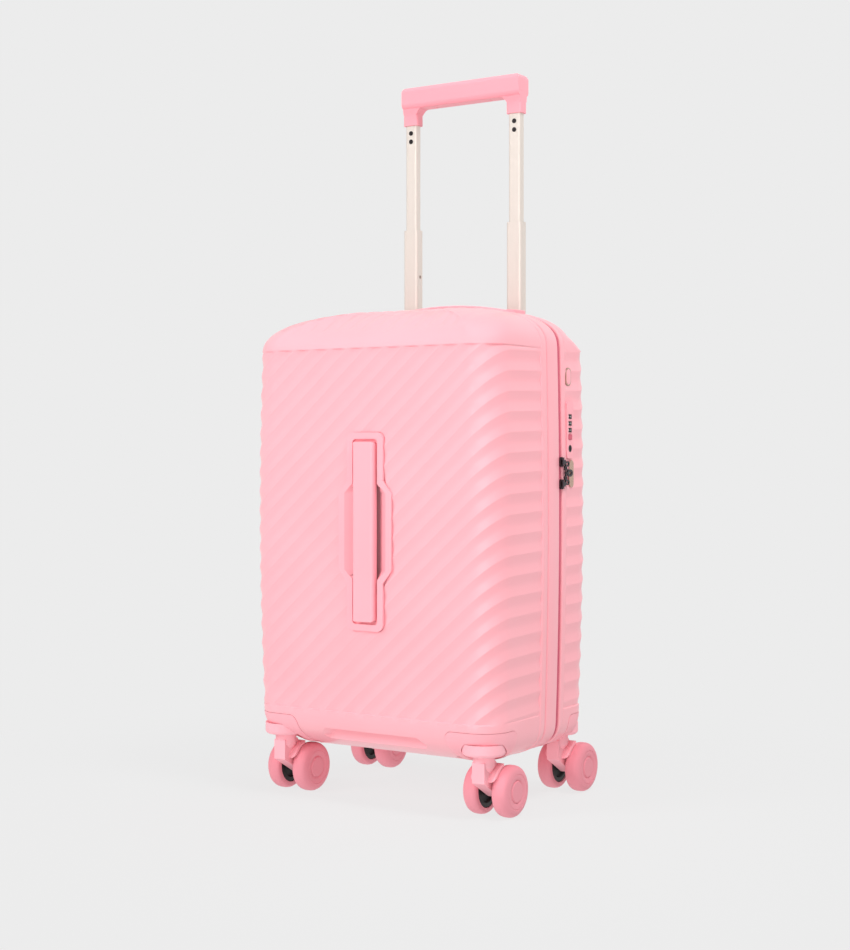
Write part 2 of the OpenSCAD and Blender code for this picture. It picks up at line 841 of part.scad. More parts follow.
module lock_barrel() {
  color(dark_color)
    difference() {
      translate([side_x - 8, lock_y, lock_z - 21])
        rotate([0, 90, 0])
          cylinder(d = 8, h = lock_face - side_x + 8);
      along_x(side_x - 3, lock_face + 1)
        rounded(lock_y - 0.7, lock_z - 23.6, lock_y + 0.7, lock_z - 18.4, 0.6);
    }
}

// Number dial i, counted from the top
module dial(i) {
  color("white")
    translate([dial_x, lock_y, dial_z + (1 - i) * dial_pitch - dial_t / 2])
      difference() {
        cylinder(d = dial_d, h = dial_t);
        translate([0, 0, -1])
          cylinder(d = 3 + 2 * fit, h = dial_t + 2);
        for (a = [0 : 36 : 324])
          rotate(a + 18)
            translate([dial_d / 2 + 0.2, 0, -1])
              cylinder(d = 1.2, h = dial_t + 2);
      }
}

// The oval badge and the plate that the pulls rest on
module trim_plates() {
  color(metal_color) {
    along_x(badge_x - 1, badge_x + 1.6)
      badge_outline(0);
    along_x(side_x + 0.1, side_x + 0.9)
      rounded(lock_y - 2, slider_z[1] - 4, lock_y + 8, slider_z[0] + 2, 4.9);
  }
}

// Zipper slider with two ears that hold a pin for its pull
module slider(z) {
  color(dark_color)
    translate([0, 0, z]) {
      along_x(side_x - 0.8, pull_x - 1.6)
        rounded(front_rim_y + 0.6, -5.5, rear_rim_y - 0.6, 5.5, 2);
      for (e = [-5, 4])
        along_x(side_x, pull_x + 1)
          rounded(pull_y - 1.2, e, pull_y + 1.2, e + 1, 0.4);
      translate([pull_x, pull_y, -5])
        cylinder(d = pull_pin, h = 10);
    }
}

// Half axes of the ring or eye at the end of a pull
end_ring = [6.6, 4.1];
end_eye = [2, 2];

// Pull of a slider, lying towards the other one with a ring at p whose half axes are r; s is its sense in z
module pull(z, s, p, r) {
  web = pull_t * 0.8;
  color(dark_color)
    translate([0, 0, z])
      difference() {
        union() {
          along_x(pull_x - pull_t / 2, pull_x + pull_t / 2) {
            rounded(pull_y - 0.3, -2.4, pull_y + 5, 2.4, 0.6);
            translate([pull_eye[0], s * pull_eye[1]])
              scale([1.5, 1])
                circle(3.2);
            translate([pull_loop[0], s * pull_loop[1]])
              scale([0.9, 1])
                circle(2.9);
            translate(p)
              scale([r[0] / r[1], 1])
                circle(r[1]);
          }
          along_x(pull_x - web / 2, pull_x + web / 2)
            polygon([[pull_loop[0] - 1.4, s * pull_loop[1]], [pull_loop[0] + 1.4, s * pull_loop[1]],
                     [p[0] + min(1.4, r[0] / 2), p[1] - s * r[1] * 0.7],
                     [p[0] - r[0] / 2, p[1] - s * r[1] * 0.7]]);
          translate([pull_x, pull_y, -3.6])
            cylinder(d = pull_pin + 1.4, h = 7.2);
        }
        translate([pull_x, pull_y, -4])
          cylinder(d = pull_pin + 2 * fit, h = 8);
        along_x(pull_x - 2, pull_x + 2) {
          translate([pull_eye[0], s * pull_eye[1]])
            scale([1.6, 1])
              circle(1.5);
          translate([pull_loop[0], s * pull_loop[1]])
            circle(1.2);
          translate(p)
            scale([r[0] / r[1], 1])
              circle(r[1] * 0.45);
        }
      }
}

// ---------- top handle ----------

module top_handle_outline(g) {
  rounded(-top_open_x - g, top_handle_y - top_open_y - g, top_open_x + g, top_handle_y + top_open_y + g,
          4 + g);
}

module top_handle_bezel() {
  color(shell_color)
    difference() {
      union() {
        along_z(case_top - 8, top_bezel_z)
          top_handle_outline(top_band);
        along_z(top_bezel_z - pocket_d - 2, top_bezel_z - 1)
          top_handle_outline(2);
      }
      along_z(top_bezel_z - pocket_d, top_bezel_z + 1)
        top_handle_outline(0);
    }
}

module top_handle_bar() {
  half = asin(top_bar_l / 2 / top_bow_r);
  w = top_bar_w / 2;
  color(shell_color)
    translate([0, top_handle_y, 0]) {
      translate([0, 0, top_bar_z - top_bow_r])
        rotate([90, 0, 0])
          rotate(90 - half)
            rotate_extrude(angle = 2 * half, $fn = 360)
              polygon([[top_bow_r, 1 - w], [top_bow_r, w - 1], [top_bow_r - 1, w], [top_bow_r - 2, w],
                       [top_bow_r - top_bar_t, w - 4], [top_bow_r - top_bar_t, 4 - w],
                       [top_bow_r - 2, -w], [top_bow_r - 1, -w]]);
      for (x = [-1, 1])
        translate([x * (top_bar_l / 2 - foot_l / 2 - 1), 0, 0])
          along_z(top_bezel_z - foot_reach, top_bezel_z - 4)
            rounded(-foot_l / 2, -w + 4, foot_l / 2, w - 4, 2);
    }
}

// ---------- trolley ----------

// Section of a tube, grown by g
module tube_section(w, g) {
  rounded(-w / 2 - g, -(w - tube_flat) / 2 - g, w / 2 + g, (w - tube_flat) / 2 + g, 3 + g);
}

module tube(w, z0, z1) {
  translate([0, tube_y, 0])
    along_z(z0, z1)
      difference() {
        tube_section(w, 0);
        tube_section(w, -tube_wall);
      }
}

module tube_pair() {
  for (x = [-tube_x, tube_x])
    translate([x, 0, 0])
      children();
}

module trolley_tray() {
  color(shell_color)
    difference() {
      intersection() {
        along_z(tray_bottom, tray_top)
          rounded(-tray_x, tray_front, tray_x, tray_back, 4);
        along_x(-tray_x, tray_x)
          polygon([[tray_front, tray_bottom], [tray_back, tray_bottom], [tray_back, tray_top - 12],
                   [tube_y + 6, tray_top], [tray_front, tray_top]]);
      }
      along_z(tray_floor, tray_top + 1)
        rounded(-tray_x + 6, tray_front + 2, tray_x - 6, tray_back - 2.4, 3);
      tube_pair()
        translate([0, tube_y, 0])
          along_z(tray_bottom - 1, tray_floor + 1)
            tube_section(outer_tube_w, -tube_wall);
    }
}

module outer_tubes() {
  color(metal_color)
    tube_pair()
      tube(outer_tube_w, outer_bottom, tray_bottom);
  color(dark_color)
    along_z(outer_bottom - 6, outer_bottom)
      rounded(-tube_x - 15, tube_y - 9.5, tube_x + 15, tube_y + 9.5, 4);
}

module middle_tubes() {
  color(metal_color)
    difference() {
      tube_pair()
        tube(middle_tube_w, middle_top - middle_l, middle_top);
      translate([-tube_x, tube_y, middle_top - 57])
        rotate([0, 90, 0])
          cylinder(d = 4.4, h = 20);
    }
}

// The four screws under the grip, of diameter d, from the tubes' front face by h
module screw_set(d, h) {
  tube_pair()
    for (drop = screw_drop)
      translate([0, tube_y - (upper_tube_w - tube_flat) / 2 + tube_wall, grip_bottom - drop])
        rotate([90, 0, 0])
          cylinder(d = d, h = h);
}

module upper_tubes() {
  color(metal_color)
    difference() {
      tube_pair()
        tube(upper_tube_w, grip_bottom + 4 - upper_l, grip_bottom + 4);
      screw_set(screw_d, tube_wall + 1);
    }
}

module grip() {
  leg = upper_tube_w / 2 + 2;
  side = leg - tube_flat / 2;
  under = grip_top - grip_h;
  color(shell_color)
    difference() {
      union() {
        intersection() {
          along_x(-grip_half, grip_half)
            translate([tube_y, under])
              rounded(-grip_d / 2, 0, grip_d / 2, grip_h, 6);
          along_y(tube_y - grip_d, tube_y + grip_d)
            rounded(-grip_half, under - 20, grip_half, grip_top, 6);
        }
        tube_pair()
          translate([0, tube_y, 0])
            along_z(grip_bottom, under + 6)
              tube_section(2 * leg, 0);
        intersection() {
          tube_pair()
            along_y(tube_y - grip_d / 2, tube_y + grip_d / 2)
              polygon([[-leg + 2, under - leg_flare], [leg - 2, under - leg_flare], [leg + 0.5, under - 4],
                       [leg + 3, under - 1], [leg + 7, under + 1], [leg + 7, under + 8],
                       [-leg - 7, under + 8], [-leg - 7, under + 1], [-leg - 3, under - 1],
                       [-leg - 0.5, under - 4]]);
          along_x(-grip_half, grip_half)
            polygon([[tube_y - side, under - leg_flare], [tube_y + side, under - leg_flare],
                     [tube_y + side + 0.5, under - 4], [tube_y + grip_d / 2 - 3, under + 3],
                     [tube_y + grip_d / 2 - 3, under + 8], [tube_y - grip_d / 2 + 3, under + 8],
                     [tube_y - grip_d / 2 + 3, under + 3], [tube_y - side - 0.5, under - 4]]);
          along_y(tube_y - grip_d, tube_y + grip_d)
            rounded(-grip_half, grip_bottom - 20, grip_half, grip_top, 6);
        }
      }
      tube_pair()
        translate([0, tube_y, 0])
          along_z(grip_bottom - 1, grip_bottom + 4)
            tube_section(upper_tube_w, 0.05);
      tube_pair()
        translate([0, tube_y, 0])
          cylinder(d = 6, h = grip_top - 8);
      for (x = [-grip_hole_x, grip_hole_x])
        translate([x, tube_y, under - 1])
          cylinder(d = 3.2, h = 6);
      along_z(grip_top - 18, grip_top - 8)
        rounded(-tube_x - 4, tube_y - 5, tube_x + 4, tube_y + 5, 3);
      along_z(grip_top - 14.5, grip_top + 1)
        rounded(-22.3, tube_y - 6.3, 22.3, tube_y + 6.3, 4);
    }
}

module grip_screws() {
  color(dark_color) {
    screw_set(screw_d, tube_wall);
    translate([0, -tube_wall, 0])
      screw_set(screw_head, screw_head_h);
  }
}

module grip_button() {
  color(shell_color)
    along_z(grip_top - 8.5, grip_top - button_sink)
      rounded(-22, tube_y - 6, 22, tube_y + 6, 3.7);
}

module release_rods() {
  color(metal_color) {
    along_z(grip_top - 12.5, grip_top - 8.5)
      rounded(-tube_x - 3, tube_y - 3, tube_x + 3, tube_y + 3, 2.9);
    tube_pair()
      translate([0, tube_y, grip_bottom + 8 - upper_l])
        cylinder(d = 4, h = grip_top - 12 - grip_bottom - 8 + upper_l);
  }
}

// ---------- casters ----------

// A caster is drawn round its swivel axis and moved to its corner
module at_corner(i) {
  translate([corner_at[i][0], corner_at[i][1], 0])
    children();
}

module fork() {
  color(shell_color)
    difference() {
      union() {
        rotate_extrude() {
          polygon([[0, disc_z], [disc_d / 2 - 4, disc_z], [disc_d / 2, disc_z + 4],
                   [disc_d / 2, disc_z + disc_t], [0, disc_z + disc_t]]);
          translate([disc_d / 2 - 4, disc_z + 4])
            circle(4);
          translate([0, disc_z])
            square([stem_d / 2, disc_t + 9]);
        }
        difference() {
          hull() {
            translate([0, 0, disc_z - 12])
              cylinder(d = neck_d, h = 13);
            translate([0, hood_low_y + 2, hood_low])
              cylinder(d = 3, h = 1);
          }
          for (s = [-1, 1])
            translate([s > 0 ? web_t / 2 : -web_t / 2 - 40, trail, axle_z])
              rotate([0, 90, 0])
                cylinder(r = hood_r, h = 40);
        }
        intersection() {
          along_x(-hood_half, hood_half)
            difference() {
              translate([trail, axle_z])
                circle(hood_r + hood_t);
              translate([trail, axle_z])
                circle(hood_r);
              translate([trail - 8, axle_z - 60])
                square([100, 120]);
            }
          along_y(-40, 40)
            rounded(-hood_half, hood_low, hood_half, disc_z - 4, 5);
        }
        along_x(-web_t / 2, web_t / 2)
          hull() {
            translate([trail, axle_z])
              circle(8);
            translate([-neck_d / 2, 50])
              square([neck_d, 12]);
            translate([-12, 40])
              square([4, 4]);
          }
      }
      translate([-50, trail, axle_z])
        rotate([0, 90, 0])
          cylinder(d = axle_d, h = 100);
    }
}

module axle() {
  half = wheel_offset + wheel_w / 2 - 6.8;
  color(metal_color)
    translate([-half, trail, axle_z])
      rotate([0, 90, 0])
        cylinder(d = axle_d, h = 2 * half);
}

// A wheel is drawn with its inner face at x = 0 and turned onto the axle
module on_axle(side) {
  translate([side * (wheel_offset - wheel_w / 2), trail, axle_z])
    rotate([0, side * 90, 0])
      children();
}

module tyre() {
  r = wheel_d / 2;
  w = wheel_w;
  color(shell_color)
    rotate_extrude($fn = 96)
      polygon([[r - 7, 0.5], [r - 3, 0.5], [r, 4], [r, w - 6.5], [r - 2.5, w - 2], [r - 8, w - 0.3],
               [11, w - 1], [10.5, w], [0, w], [0, w - 6], [r - 7, w - 6]]);
}

module core() {
  color(dark_color)
    rotate_extrude()
      difference() {
        translate([axle_d / 2 + fit, 1.5])
          square([wheel_d / 2 - 7.05 - axle_d / 2 - fit, wheel_w - 7.55]);
        translate([axle_d / 2 + 4, 0])
          square([wheel_d / 2 - 14 - axle_d / 2, 6]);
      }
}

front_shell();
front_rim();
front_zipper_tape();
front_lining();
front_pocket();
front_caster_housings();
front_handle_bezel();
front_handle_bar();
rear_shell();
rear_rim();
rear_zipper_tape();
rear_lining();
packing_straps();
rear_caster_housings();
hinge_gusset();
lock_body();
lock_button();
lock_barrel();
dial(0);  // dial_1
dial(1);  // dial_2
dial(2);  // dial_3
trim_plates();
slider(slider_z[0]);  // slider_upper
slider(slider_z[1]);  // slider_lower
pull(slider_z[0], -1, [pull_y + 15.4, -pull_reach], end_ring);  // pull_upper
pull(slider_z[1], 1, [pull_y + 6.4, pull_reach], end_eye);  // pull_lower
top_handle_bezel();
top_handle_bar();
trolley_tray();
outer_tubes();
middle_tubes();
upper_tubes();
grip();
grip_screws();
grip_button();
release_rods();
at_corner(0) fork();  // front_left_fork
at_corner(0) axle();  // front_left_axle
at_corner(0) on_axle(-1) tyre();  // front_left_tyre_a
at_corner(0) on_axle(-1) core();  // front_left_core_a
at_corner(0) on_axle(1) tyre();  // front_left_tyre_b
at_corner(0) on_axle(1) core();  // front_left_core_b
at_corner(1) fork();  // front_right_fork
at_corner(1) axle();  // front_right_axle
at_corner(1) on_axle(-1) tyre();  // front_right_tyre_a
at_corner(1) on_axle(-1) core();  // front_right_core_a
at_corner(1) on_axle(1) tyre();  // front_right_tyre_b
at_corner(1) on_axle(1) core();  // front_right_core_b
at_corner(2) fork();  // rear_left_fork
at_corner(2) axle();  // rear_left_axle
at_corner(2) on_axle(-1) tyre();  // rear_left_tyre_a
at_corner(2) on_axle(-1) core();  // rear_left_core_a
at_corner(2) on_axle(1) tyre();  // rear_left_tyre_b
at_corner(2) on_axle(1) core();  // rear_left_core_b
at_corner(3) fork();  // rear_right_fork
at_corner(3) axle();  // rear_right_axle
at_corner(3) on_axle(-1) tyre();  // rear_right_tyre_a
at_corner(3) on_axle(-1) core();  // rear_right_core_a
at_corner(3) on_axle(1) tyre();  // rear_right_tyre_b
at_corner(3) on_axle(1) core();  // rear_right_core_b
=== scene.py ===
import json
import math
import bpy
import bmesh
from mathutils import Matrix, Vector, noise


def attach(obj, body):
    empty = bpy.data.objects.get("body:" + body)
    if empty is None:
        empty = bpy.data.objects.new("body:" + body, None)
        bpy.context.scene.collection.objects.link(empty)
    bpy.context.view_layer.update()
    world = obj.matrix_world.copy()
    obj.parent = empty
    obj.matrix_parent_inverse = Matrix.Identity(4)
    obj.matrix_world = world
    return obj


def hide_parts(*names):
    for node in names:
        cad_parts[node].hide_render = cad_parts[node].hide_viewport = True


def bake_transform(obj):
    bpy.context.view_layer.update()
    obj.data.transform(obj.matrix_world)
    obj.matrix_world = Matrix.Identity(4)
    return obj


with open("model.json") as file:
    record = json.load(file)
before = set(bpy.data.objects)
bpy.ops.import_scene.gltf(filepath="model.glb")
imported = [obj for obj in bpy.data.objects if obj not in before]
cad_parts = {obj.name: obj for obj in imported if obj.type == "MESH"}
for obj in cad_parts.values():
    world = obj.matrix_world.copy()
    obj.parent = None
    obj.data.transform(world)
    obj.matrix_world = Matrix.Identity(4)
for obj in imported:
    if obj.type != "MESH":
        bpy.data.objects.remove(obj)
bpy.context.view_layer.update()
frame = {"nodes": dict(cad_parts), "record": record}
bodyOf = {node: body for body, nodes in frame["record"]["behaviour"]["bodies"].items() for node in nodes}

# ---------- materials ----------


def linear(hexColour):
    channels = [int(hexColour[i : i + 2], 16) / 255 for i in (1, 3, 5)]
    return [c / 12.92 if c <= 0.04045 else ((c + 0.055) / 1.055) ** 2.4 for c in channels] + [1]


def addNode(tree, kind, settings=None, links=None):
    node = tree.nodes.new(kind)
    for key, value in (settings or {}).items():
        if isinstance(key, int) or key in node.inputs:
            node.inputs[key].default_value = value
        else:
            setattr(node, key, value)
    for key, socket in (links or {}).items():
        tree.links.new(socket, node.inputs[key])
    return node


def newMaterial(name, colour, roughness, **settings):
    material = bpy.data.materials.new(name)
    material.use_nodes = True
    shader = material.node_tree.nodes["Principled BSDF"]
    shader.inputs["Base Color"].default_value = linear(colour)
    shader.inputs["Roughness"].default_value = roughness
    for key, value in settings.items():
        shader.inputs[key.replace("_", " ")].default_value = value
    return material, material.node_tree, shader


def objectPattern(tree, scale=(1, 1, 1)):
    coords = addNode(tree, "ShaderNodeTexCoord")
    mapping = addNode(tree, "ShaderNodeMapping", {"Scale": scale}, {"Vector": coords.outputs["Object"]})
    return mapping.outputs[0]


def shade(tree, shader, vector, colours, scale, detail=3):
    noise = addNode(tree, "ShaderNodeTexNoise", {"Scale": scale, "Detail": detail}, {"Vector": vector})
    ramp = addNode(tree, "ShaderNodeValToRGB", links={"Fac": noise.outputs["Fac"]})
    for stop, position, colour in zip(ramp.color_ramp.elements, (0.35, 0.65), colours):
        stop.position, stop.color = position, linear(colour)
    tree.links.new(ramp.outputs["Color"], shader.inputs["Base Color"])


def relief(tree, shader, height, distance, strength=1.0):
    bump = addNode(tree, "ShaderNodeBump", {"Strength": strength, "Distance": distance}, {"Height": height})
    tree.links.new(bump.outputs["Normal"], shader.inputs["Normal"])


def roughened(tree, shader, height, low, high):
    spread = addNode(tree, "ShaderNodeMapRange", {"To Min": low, "To Max": high}, {"Value": height})
    tree.links.new(spread.outputs["Result"], shader.inputs["Roughness"])


def mouldedPlastic(name, colours, roughness, grain, depth, **settings):
    material, tree, shader = newMaterial(name, colours[0], roughness, **settings)
    vector = objectPattern(tree)
    shade(tree, shader, vector, colours, 9)
    fine = addNode(tree, "ShaderNodeTexNoise", {"Scale": 1 / grain, "Detail": 2}, {"Vector": vector})
    relief(tree, shader, fine.outputs["Fac"], depth)
    wide = addNode(tree, "ShaderNodeTexNoise", {"Scale": 14, "Detail": 2}, {"Vector": vector})
    roughened(tree, shader, wide.outputs["Fac"], roughness - 0.05, roughness + 0.05)
    return material


def wovenCloth(name, colours, thread, depth):
    material, tree, shader = newMaterial(name, colours[0], 0.85, Sheen_Weight=0.3, Sheen_Roughness=0.5)
    vector = objectPattern(tree)
    shade(tree, shader, vector, colours, 40)
    waves = []
    for direction in "XZ":
        waves.append(addNode(tree, "ShaderNodeTexWave", {"Scale": 1 / (thread * 6.3), "Distortion": 0.4,
                     "bands_direction": direction}, {"Vector": vector}))
    weave = addNode(tree, "ShaderNodeMath", {"operation": "MULTIPLY"},
                    {0: waves[0].outputs["Fac"], 1: waves[1].outputs["Fac"]})
    relief(tree, shader, weave.outputs[0], depth)
    return material


def drawnMetal(name, colour, roughness, stretch, depth, metallic=1.0):
    material, tree, shader = newMaterial(name, colour, roughness, Metallic=metallic)
    vector = objectPattern(tree, stretch)
    lines = addNode(tree, "ShaderNodeTexNoise", {"Scale": 1.0, "Detail": 4}, {"Vector": vector})
    relief(tree, shader, lines.outputs["Fac"], depth)
    roughened(tree, shader, lines.outputs["Fac"], roughness - 0.06, roughness + 0.08)
    return material


# Injection-moulded polycarbonate: an even pink under a thin gloss, with a faint orange peel
shellPlastic = mouldedPlastic("glossPolycarbonate", ("#FFB0B9", "#FFB3BC"), 0.34, 0.0016, 0.000006,
                              Specular_IOR_Level=0.3, Coat_Weight=0.3, Coat_Roughness=0.07)
# Moulded ABS of the handles, bands and housings: the same pink, a little flatter
handlePlastic = mouldedPlastic("satinAbs", ("#FFAFB9", "#FFB2BC"), 0.4, 0.0012, 0.000006,
                               Specular_IOR_Level=0.3)
# Moulded ABS of the grip: a shade deeper than the case, and as flat as the handles
gripPlastic = mouldedPlastic("gripAbs", ("#F9A2AD", "#FAA5B0"), 0.4, 0.0012, 0.000006, Specular_IOR_Level=0.3)
# Moulded nylon of the caster forks: a paler pink with a satin surface
casterPlastic = mouldedPlastic("casterNylon", ("#FFB4BE", "#FFB7C1"), 0.42, 0.001, 0.000006,
                               Specular_IOR_Level=0.3)
# Cast polyurethane of the wheels: soft sheen, fine grain
wheelRubber = mouldedPlastic("castPolyurethane", ("#EB929E", "#ED97A3"), 0.5, 0.0008, 0.00001,
                             Specular_IOR_Level=0.25)
# Moulded nylon of the wheels' inner faces and hubs: black and dull, with a soft highlight
hubPlastic = mouldedPlastic("blackNylon", ("#151314", "#1D1A1B"), 0.5, 0.0009, 0.00001)
# Drawn and anodised aluminium: pale champagne, with fine lines along the tubes
tubeMetal = drawnMetal("anodisedAluminium", "#E6DCD3", 0.42, (900, 900, 6), 0.000003, 0.6)
# Zinc casting plated in champagne: a warm, soft metal shine
plateMetal = drawnMetal("platedZincChampagne", "#C9AA98", 0.28, (500, 500, 500), 0.000003)
# Zinc casting plated in black nickel: dark grey with the same soft shine
pullMetal = drawnMetal("platedZincBlackNickel", "#4B464A", 0.28, (500, 500, 500), 0.000004)
# Blackened steel of screws and axles: dark and dull beside the plated parts
screwMetal = drawnMetal("blackenedSteel", "#3B3739", 0.35, (600, 600, 600), 0.000004)
# Polyester zipper tape, woven: a darker, dull pink. Its threads are drawn twice too wide, to show at all
tapeCloth = wovenCloth("wovenZipperTape", ("#D9667A", "#E27487"), 0.0006, 0.0001)
# Nylon coil of the zipper: a deep pink that catches the light along its teeth
coilNylon = mouldedPlastic("nylonCoil", ("#D8607A", "#E26F87"), 0.45, 0.0006, 0.00001)
# Polyester lining, thin plain weave: a dull greyish pink. Its threads are drawn three times too wide
liningCloth = wovenCloth("wovenLining", ("#C5B9BB", "#CFC4C6"), 0.0009, 0.00012)
# Polypropylene webbing of the packing straps: near black, with a coarse weave
strapCloth = wovenCloth("wovenWebbing", ("#2B2729", "#353032"), 0.0012, 0.0003)
# Moulded acetal of the number dials: black with a tight highlight, and white for the numerals
dialBlack = mouldedPlastic("blackAcetal", ("#0E0C0D", "#151314"), 0.35, 0.0008, 0.000004)
dialPlastic = mouldedPlastic("whiteAcetal", ("#F4F1EE", "#F8F6F3"), 0.35, 0.0008, 0.000004)
# Moulded ABS of the lock's release button: a darker pink, so that it stands out
buttonPlastic = mouldedPlastic("deepAbs", ("#D3586E", "#DA6076"), 0.35, 0.0008, 0.000008)
print("materials made")

# ---------- making pieces ----------

millimetre = 0.001


def finishPiece(name, bm, material, body, node=None, sharpAngle=30, scale=millimetre):
    if scale != 1:
        bmesh.ops.scale(bm, vec=(scale, scale, scale), verts=bm.verts)
    mesh = bpy.data.meshes.new(name)
    bm.to_mesh(mesh)
    bm.free()
    mesh.shade_smooth()
    mesh.set_sharp_from_angle(angle=math.radians(sharpAngle))
    piece = bpy.data.objects.new(name, mesh)
    bpy.context.collection.objects.link(piece)
    if material:
        mesh.materials.append(material)
    if body:
        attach(piece, body)
    if node:
        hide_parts(*([node] if isinstance(node, str) else node))
    return piece


def applyModifiers(piece):
    graph = bpy.context.evaluated_depsgraph_get()
    mesh = bpy.data.meshes.new_from_object(piece.evaluated_get(graph))
    piece.modifiers.clear()
    piece.data = mesh
    return piece


def bevelEdges(bm, edges, radius, segments):
    bmesh.ops.bevel(bm, geom=edges, offset=radius, segments=segments, profile=0.5, affect="EDGES",
                    material=-1)


# Rounds the edges that run along an axis
def roundAlong(bm, axis, radius, segments):
    along = [e for e in bm.edges if abs((e.verts[0].co - e.verts[1].co).normalized()[axis]) > 0.99]
    bevelEdges(bm, along, radius, segments)


def roundedBox(low, high, axis, radius, segments=8):
    bm = bmesh.new()
    bmesh.ops.create_cube(bm, size=1)
    size = [high[i] - low[i] for i in range(3)]
    bmesh.ops.scale(bm, vec=size, verts=bm.verts)
    bmesh.ops.translate(bm, vec=[(high[i] + low[i]) / 2 for i in range(3)], verts=bm.verts)
    if radius > 0:
        roundAlong(bm, axis, radius, segments)
    return bm


# An outline drawn in two axes, pushed along the third, with its upright edges rounded
def prism(points, axis, low, high, radius=0, segments=6):
    bm = bmesh.new()
    place = {0: lambda a, b, c: (c, a, b), 1: lambda a, b, c: (a, c, b), 2: lambda a, b, c: (a, b, c)}[axis]
    face = bm.faces.new([bm.verts.new(place(a, b, low)) for a, b in points])
    pushed = bmesh.ops.extrude_face_region(bm, geom=[face])
    moved = [v for v in pushed["geom"] if isinstance(v, bmesh.types.BMVert)]
    bmesh.ops.translate(bm, vec=place(0, 0, high - low), verts=moved)
    bmesh.ops.recalc_face_normals(bm, faces=bm.faces)
    if radius > 0:
        roundAlong(bm, axis, radius, segments)
    return bm


# Cuts a bmesh out of a piece, adds it or keeps what they share
def carve(piece, cutter, operation="DIFFERENCE"):
    tool = finishPiece("cutter", cutter, None, None)
    modifier = piece.modifiers.new("carve", "BOOLEAN")
    modifier.object, modifier.operation, modifier.solver = tool, operation, "MANIFOLD"
    before = len(piece.data.polygons)
    applyModifiers(piece)
    bpy.data.objects.remove(tool)
    if len(piece.data.polygons) in (0, before):
        print("carve did nothing on", piece.name, operation)
    return piece


def resharpen(piece, sharpAngle=30):
    piece.data.shade_smooth()
    piece.data.set_sharp_from_angle(angle=math.radians(sharpAngle))
    return piece


# Flat faces keep their own normals beside rounded edges
def evenNormals(piece):
    modifier = piece.modifiers.new("normals", "WEIGHTED_NORMAL")
    modifier.mode, modifier.weight, modifier.keep_sharp = "FACE_AREA", 100, True
    return applyModifiers(piece)


# A CAD node's own shape with its sharp edges rounded
def softened(node, name, material, width, segments=3, bevelAngle=35, sharpAngle=45):
    bm = bmesh.new()
    bm.from_mesh(frame["nodes"][node].data)
    bmesh.ops.remove_doubles(bm, verts=bm.verts, dist=1e-6)
    bmesh.ops.dissolve_limit(bm, angle_limit=math.radians(0.6), verts=bm.verts, edges=bm.edges)
    piece = finishPiece(name, bm, material, bodyOf[node], node, sharpAngle=sharpAngle, scale=1)
    if width:
        bevel = piece.modifiers.new("edges", "BEVEL")
        bevel.width, bevel.segments, bevel.limit_method = width * millimetre, segments, "ANGLE"
        bevel.angle_limit, bevel.use_clamp_overlap = math.radians(bevelAngle), True
        applyModifiers(piece)
        resharpen(piece, sharpAngle)
        evenNormals(piece)
    return piece


def dressed(node, material):
    mesh = frame["nodes"][node].data
    mesh.materials.clear()
    mesh.materials.append(material)


# ---------- the case's form ----------

case = {"halfWidth": 165, "low": 51, "high": 556, "cornerRadius": 34, "topRound": 47, "lowRound": 46,
        "roundReach": 115, "bow": 3, "widest": 330, "bowSpan": 200, "wall": 2.4, "sharpAngle": 28,
        "lowRows": 16, "highRows": 34, "rowGrowth": 1.6, "plainTop": 140, "cornerSteps": 14, "faceSteps": 150,
        "lowFullness": 2, "highFullness": 2.25, "lowTaper": 1.6, "highTaper": 1.1}
# Each half's reach to the front, its rim, and how its top leans at the middle, at the corners, and swells
halves = {"front": {"reach": 114, "rim": -10, "lean": (0.65, 0.87, 12)},
          "rear": {"reach": 112, "rim": -44, "lean": (1.6, 0.4, 52)}}
ribs = {"pitch": 21.94, "depth": 1.6, "slope": 0.882, "sideSlope": 0.03, "start": 4.7, "lowEdge": 104.6,
        "lowBand": 103.4, "highEdge": 506.8, "highBand": 508.4, "undercut": 1.4, "runout": 0.6, "curve": 1.4,
        "crest": 0.05, "rounding": 0.03,
        "shares": (0, 0.022, 0.06, 0.15, 0.28, 0.4, 0.5, 0.6, 0.72, 0.85, 0.94, 0.978)}
topFlutes = {"pitch": 17.3, "depth": 1.5, "low": 529, "left": -125.5, "right": 134, "curve": 1.8, "lead": 2.5,
             "fade": 8}


def bow(z):
    return case["bow"] * ((z - case["widest"]) / case["bowSpan"]) ** 2


# Height of a rounding at share s of its way in; a larger n makes it fuller
def cap(s, n):
    return (1 - (1 - s) ** n) ** (1 / n)


# A level is a height, its share of the rounding across, its share in depth and how the top leans there
def lowLevel(s, off=0):
    z = case["low"] + off + case["lowRound"] * (1 - cap(s, case["lowFullness"]))
    return (z, s ** case["lowTaper"], s, None)


def highLevel(s, lean, off=0):
    z = case["high"] - off - case["topRound"] * (1 - cap(s, case["highFullness"]))
    return (z, s ** case["highTaper"], s, lean)


def plainLevel(z):
    return (z, 0, 0, None)


def halfWidth(level, off=0):
    return case["halfWidth"] - off - bow(level[0]) - case["roundReach"] * level[1]


def depthShare(level, cornerness):
    lean = level[3]
    return level[2] ** (lean[0] + (lean[1] - lean[0]) * cornerness) if lean else level[2]


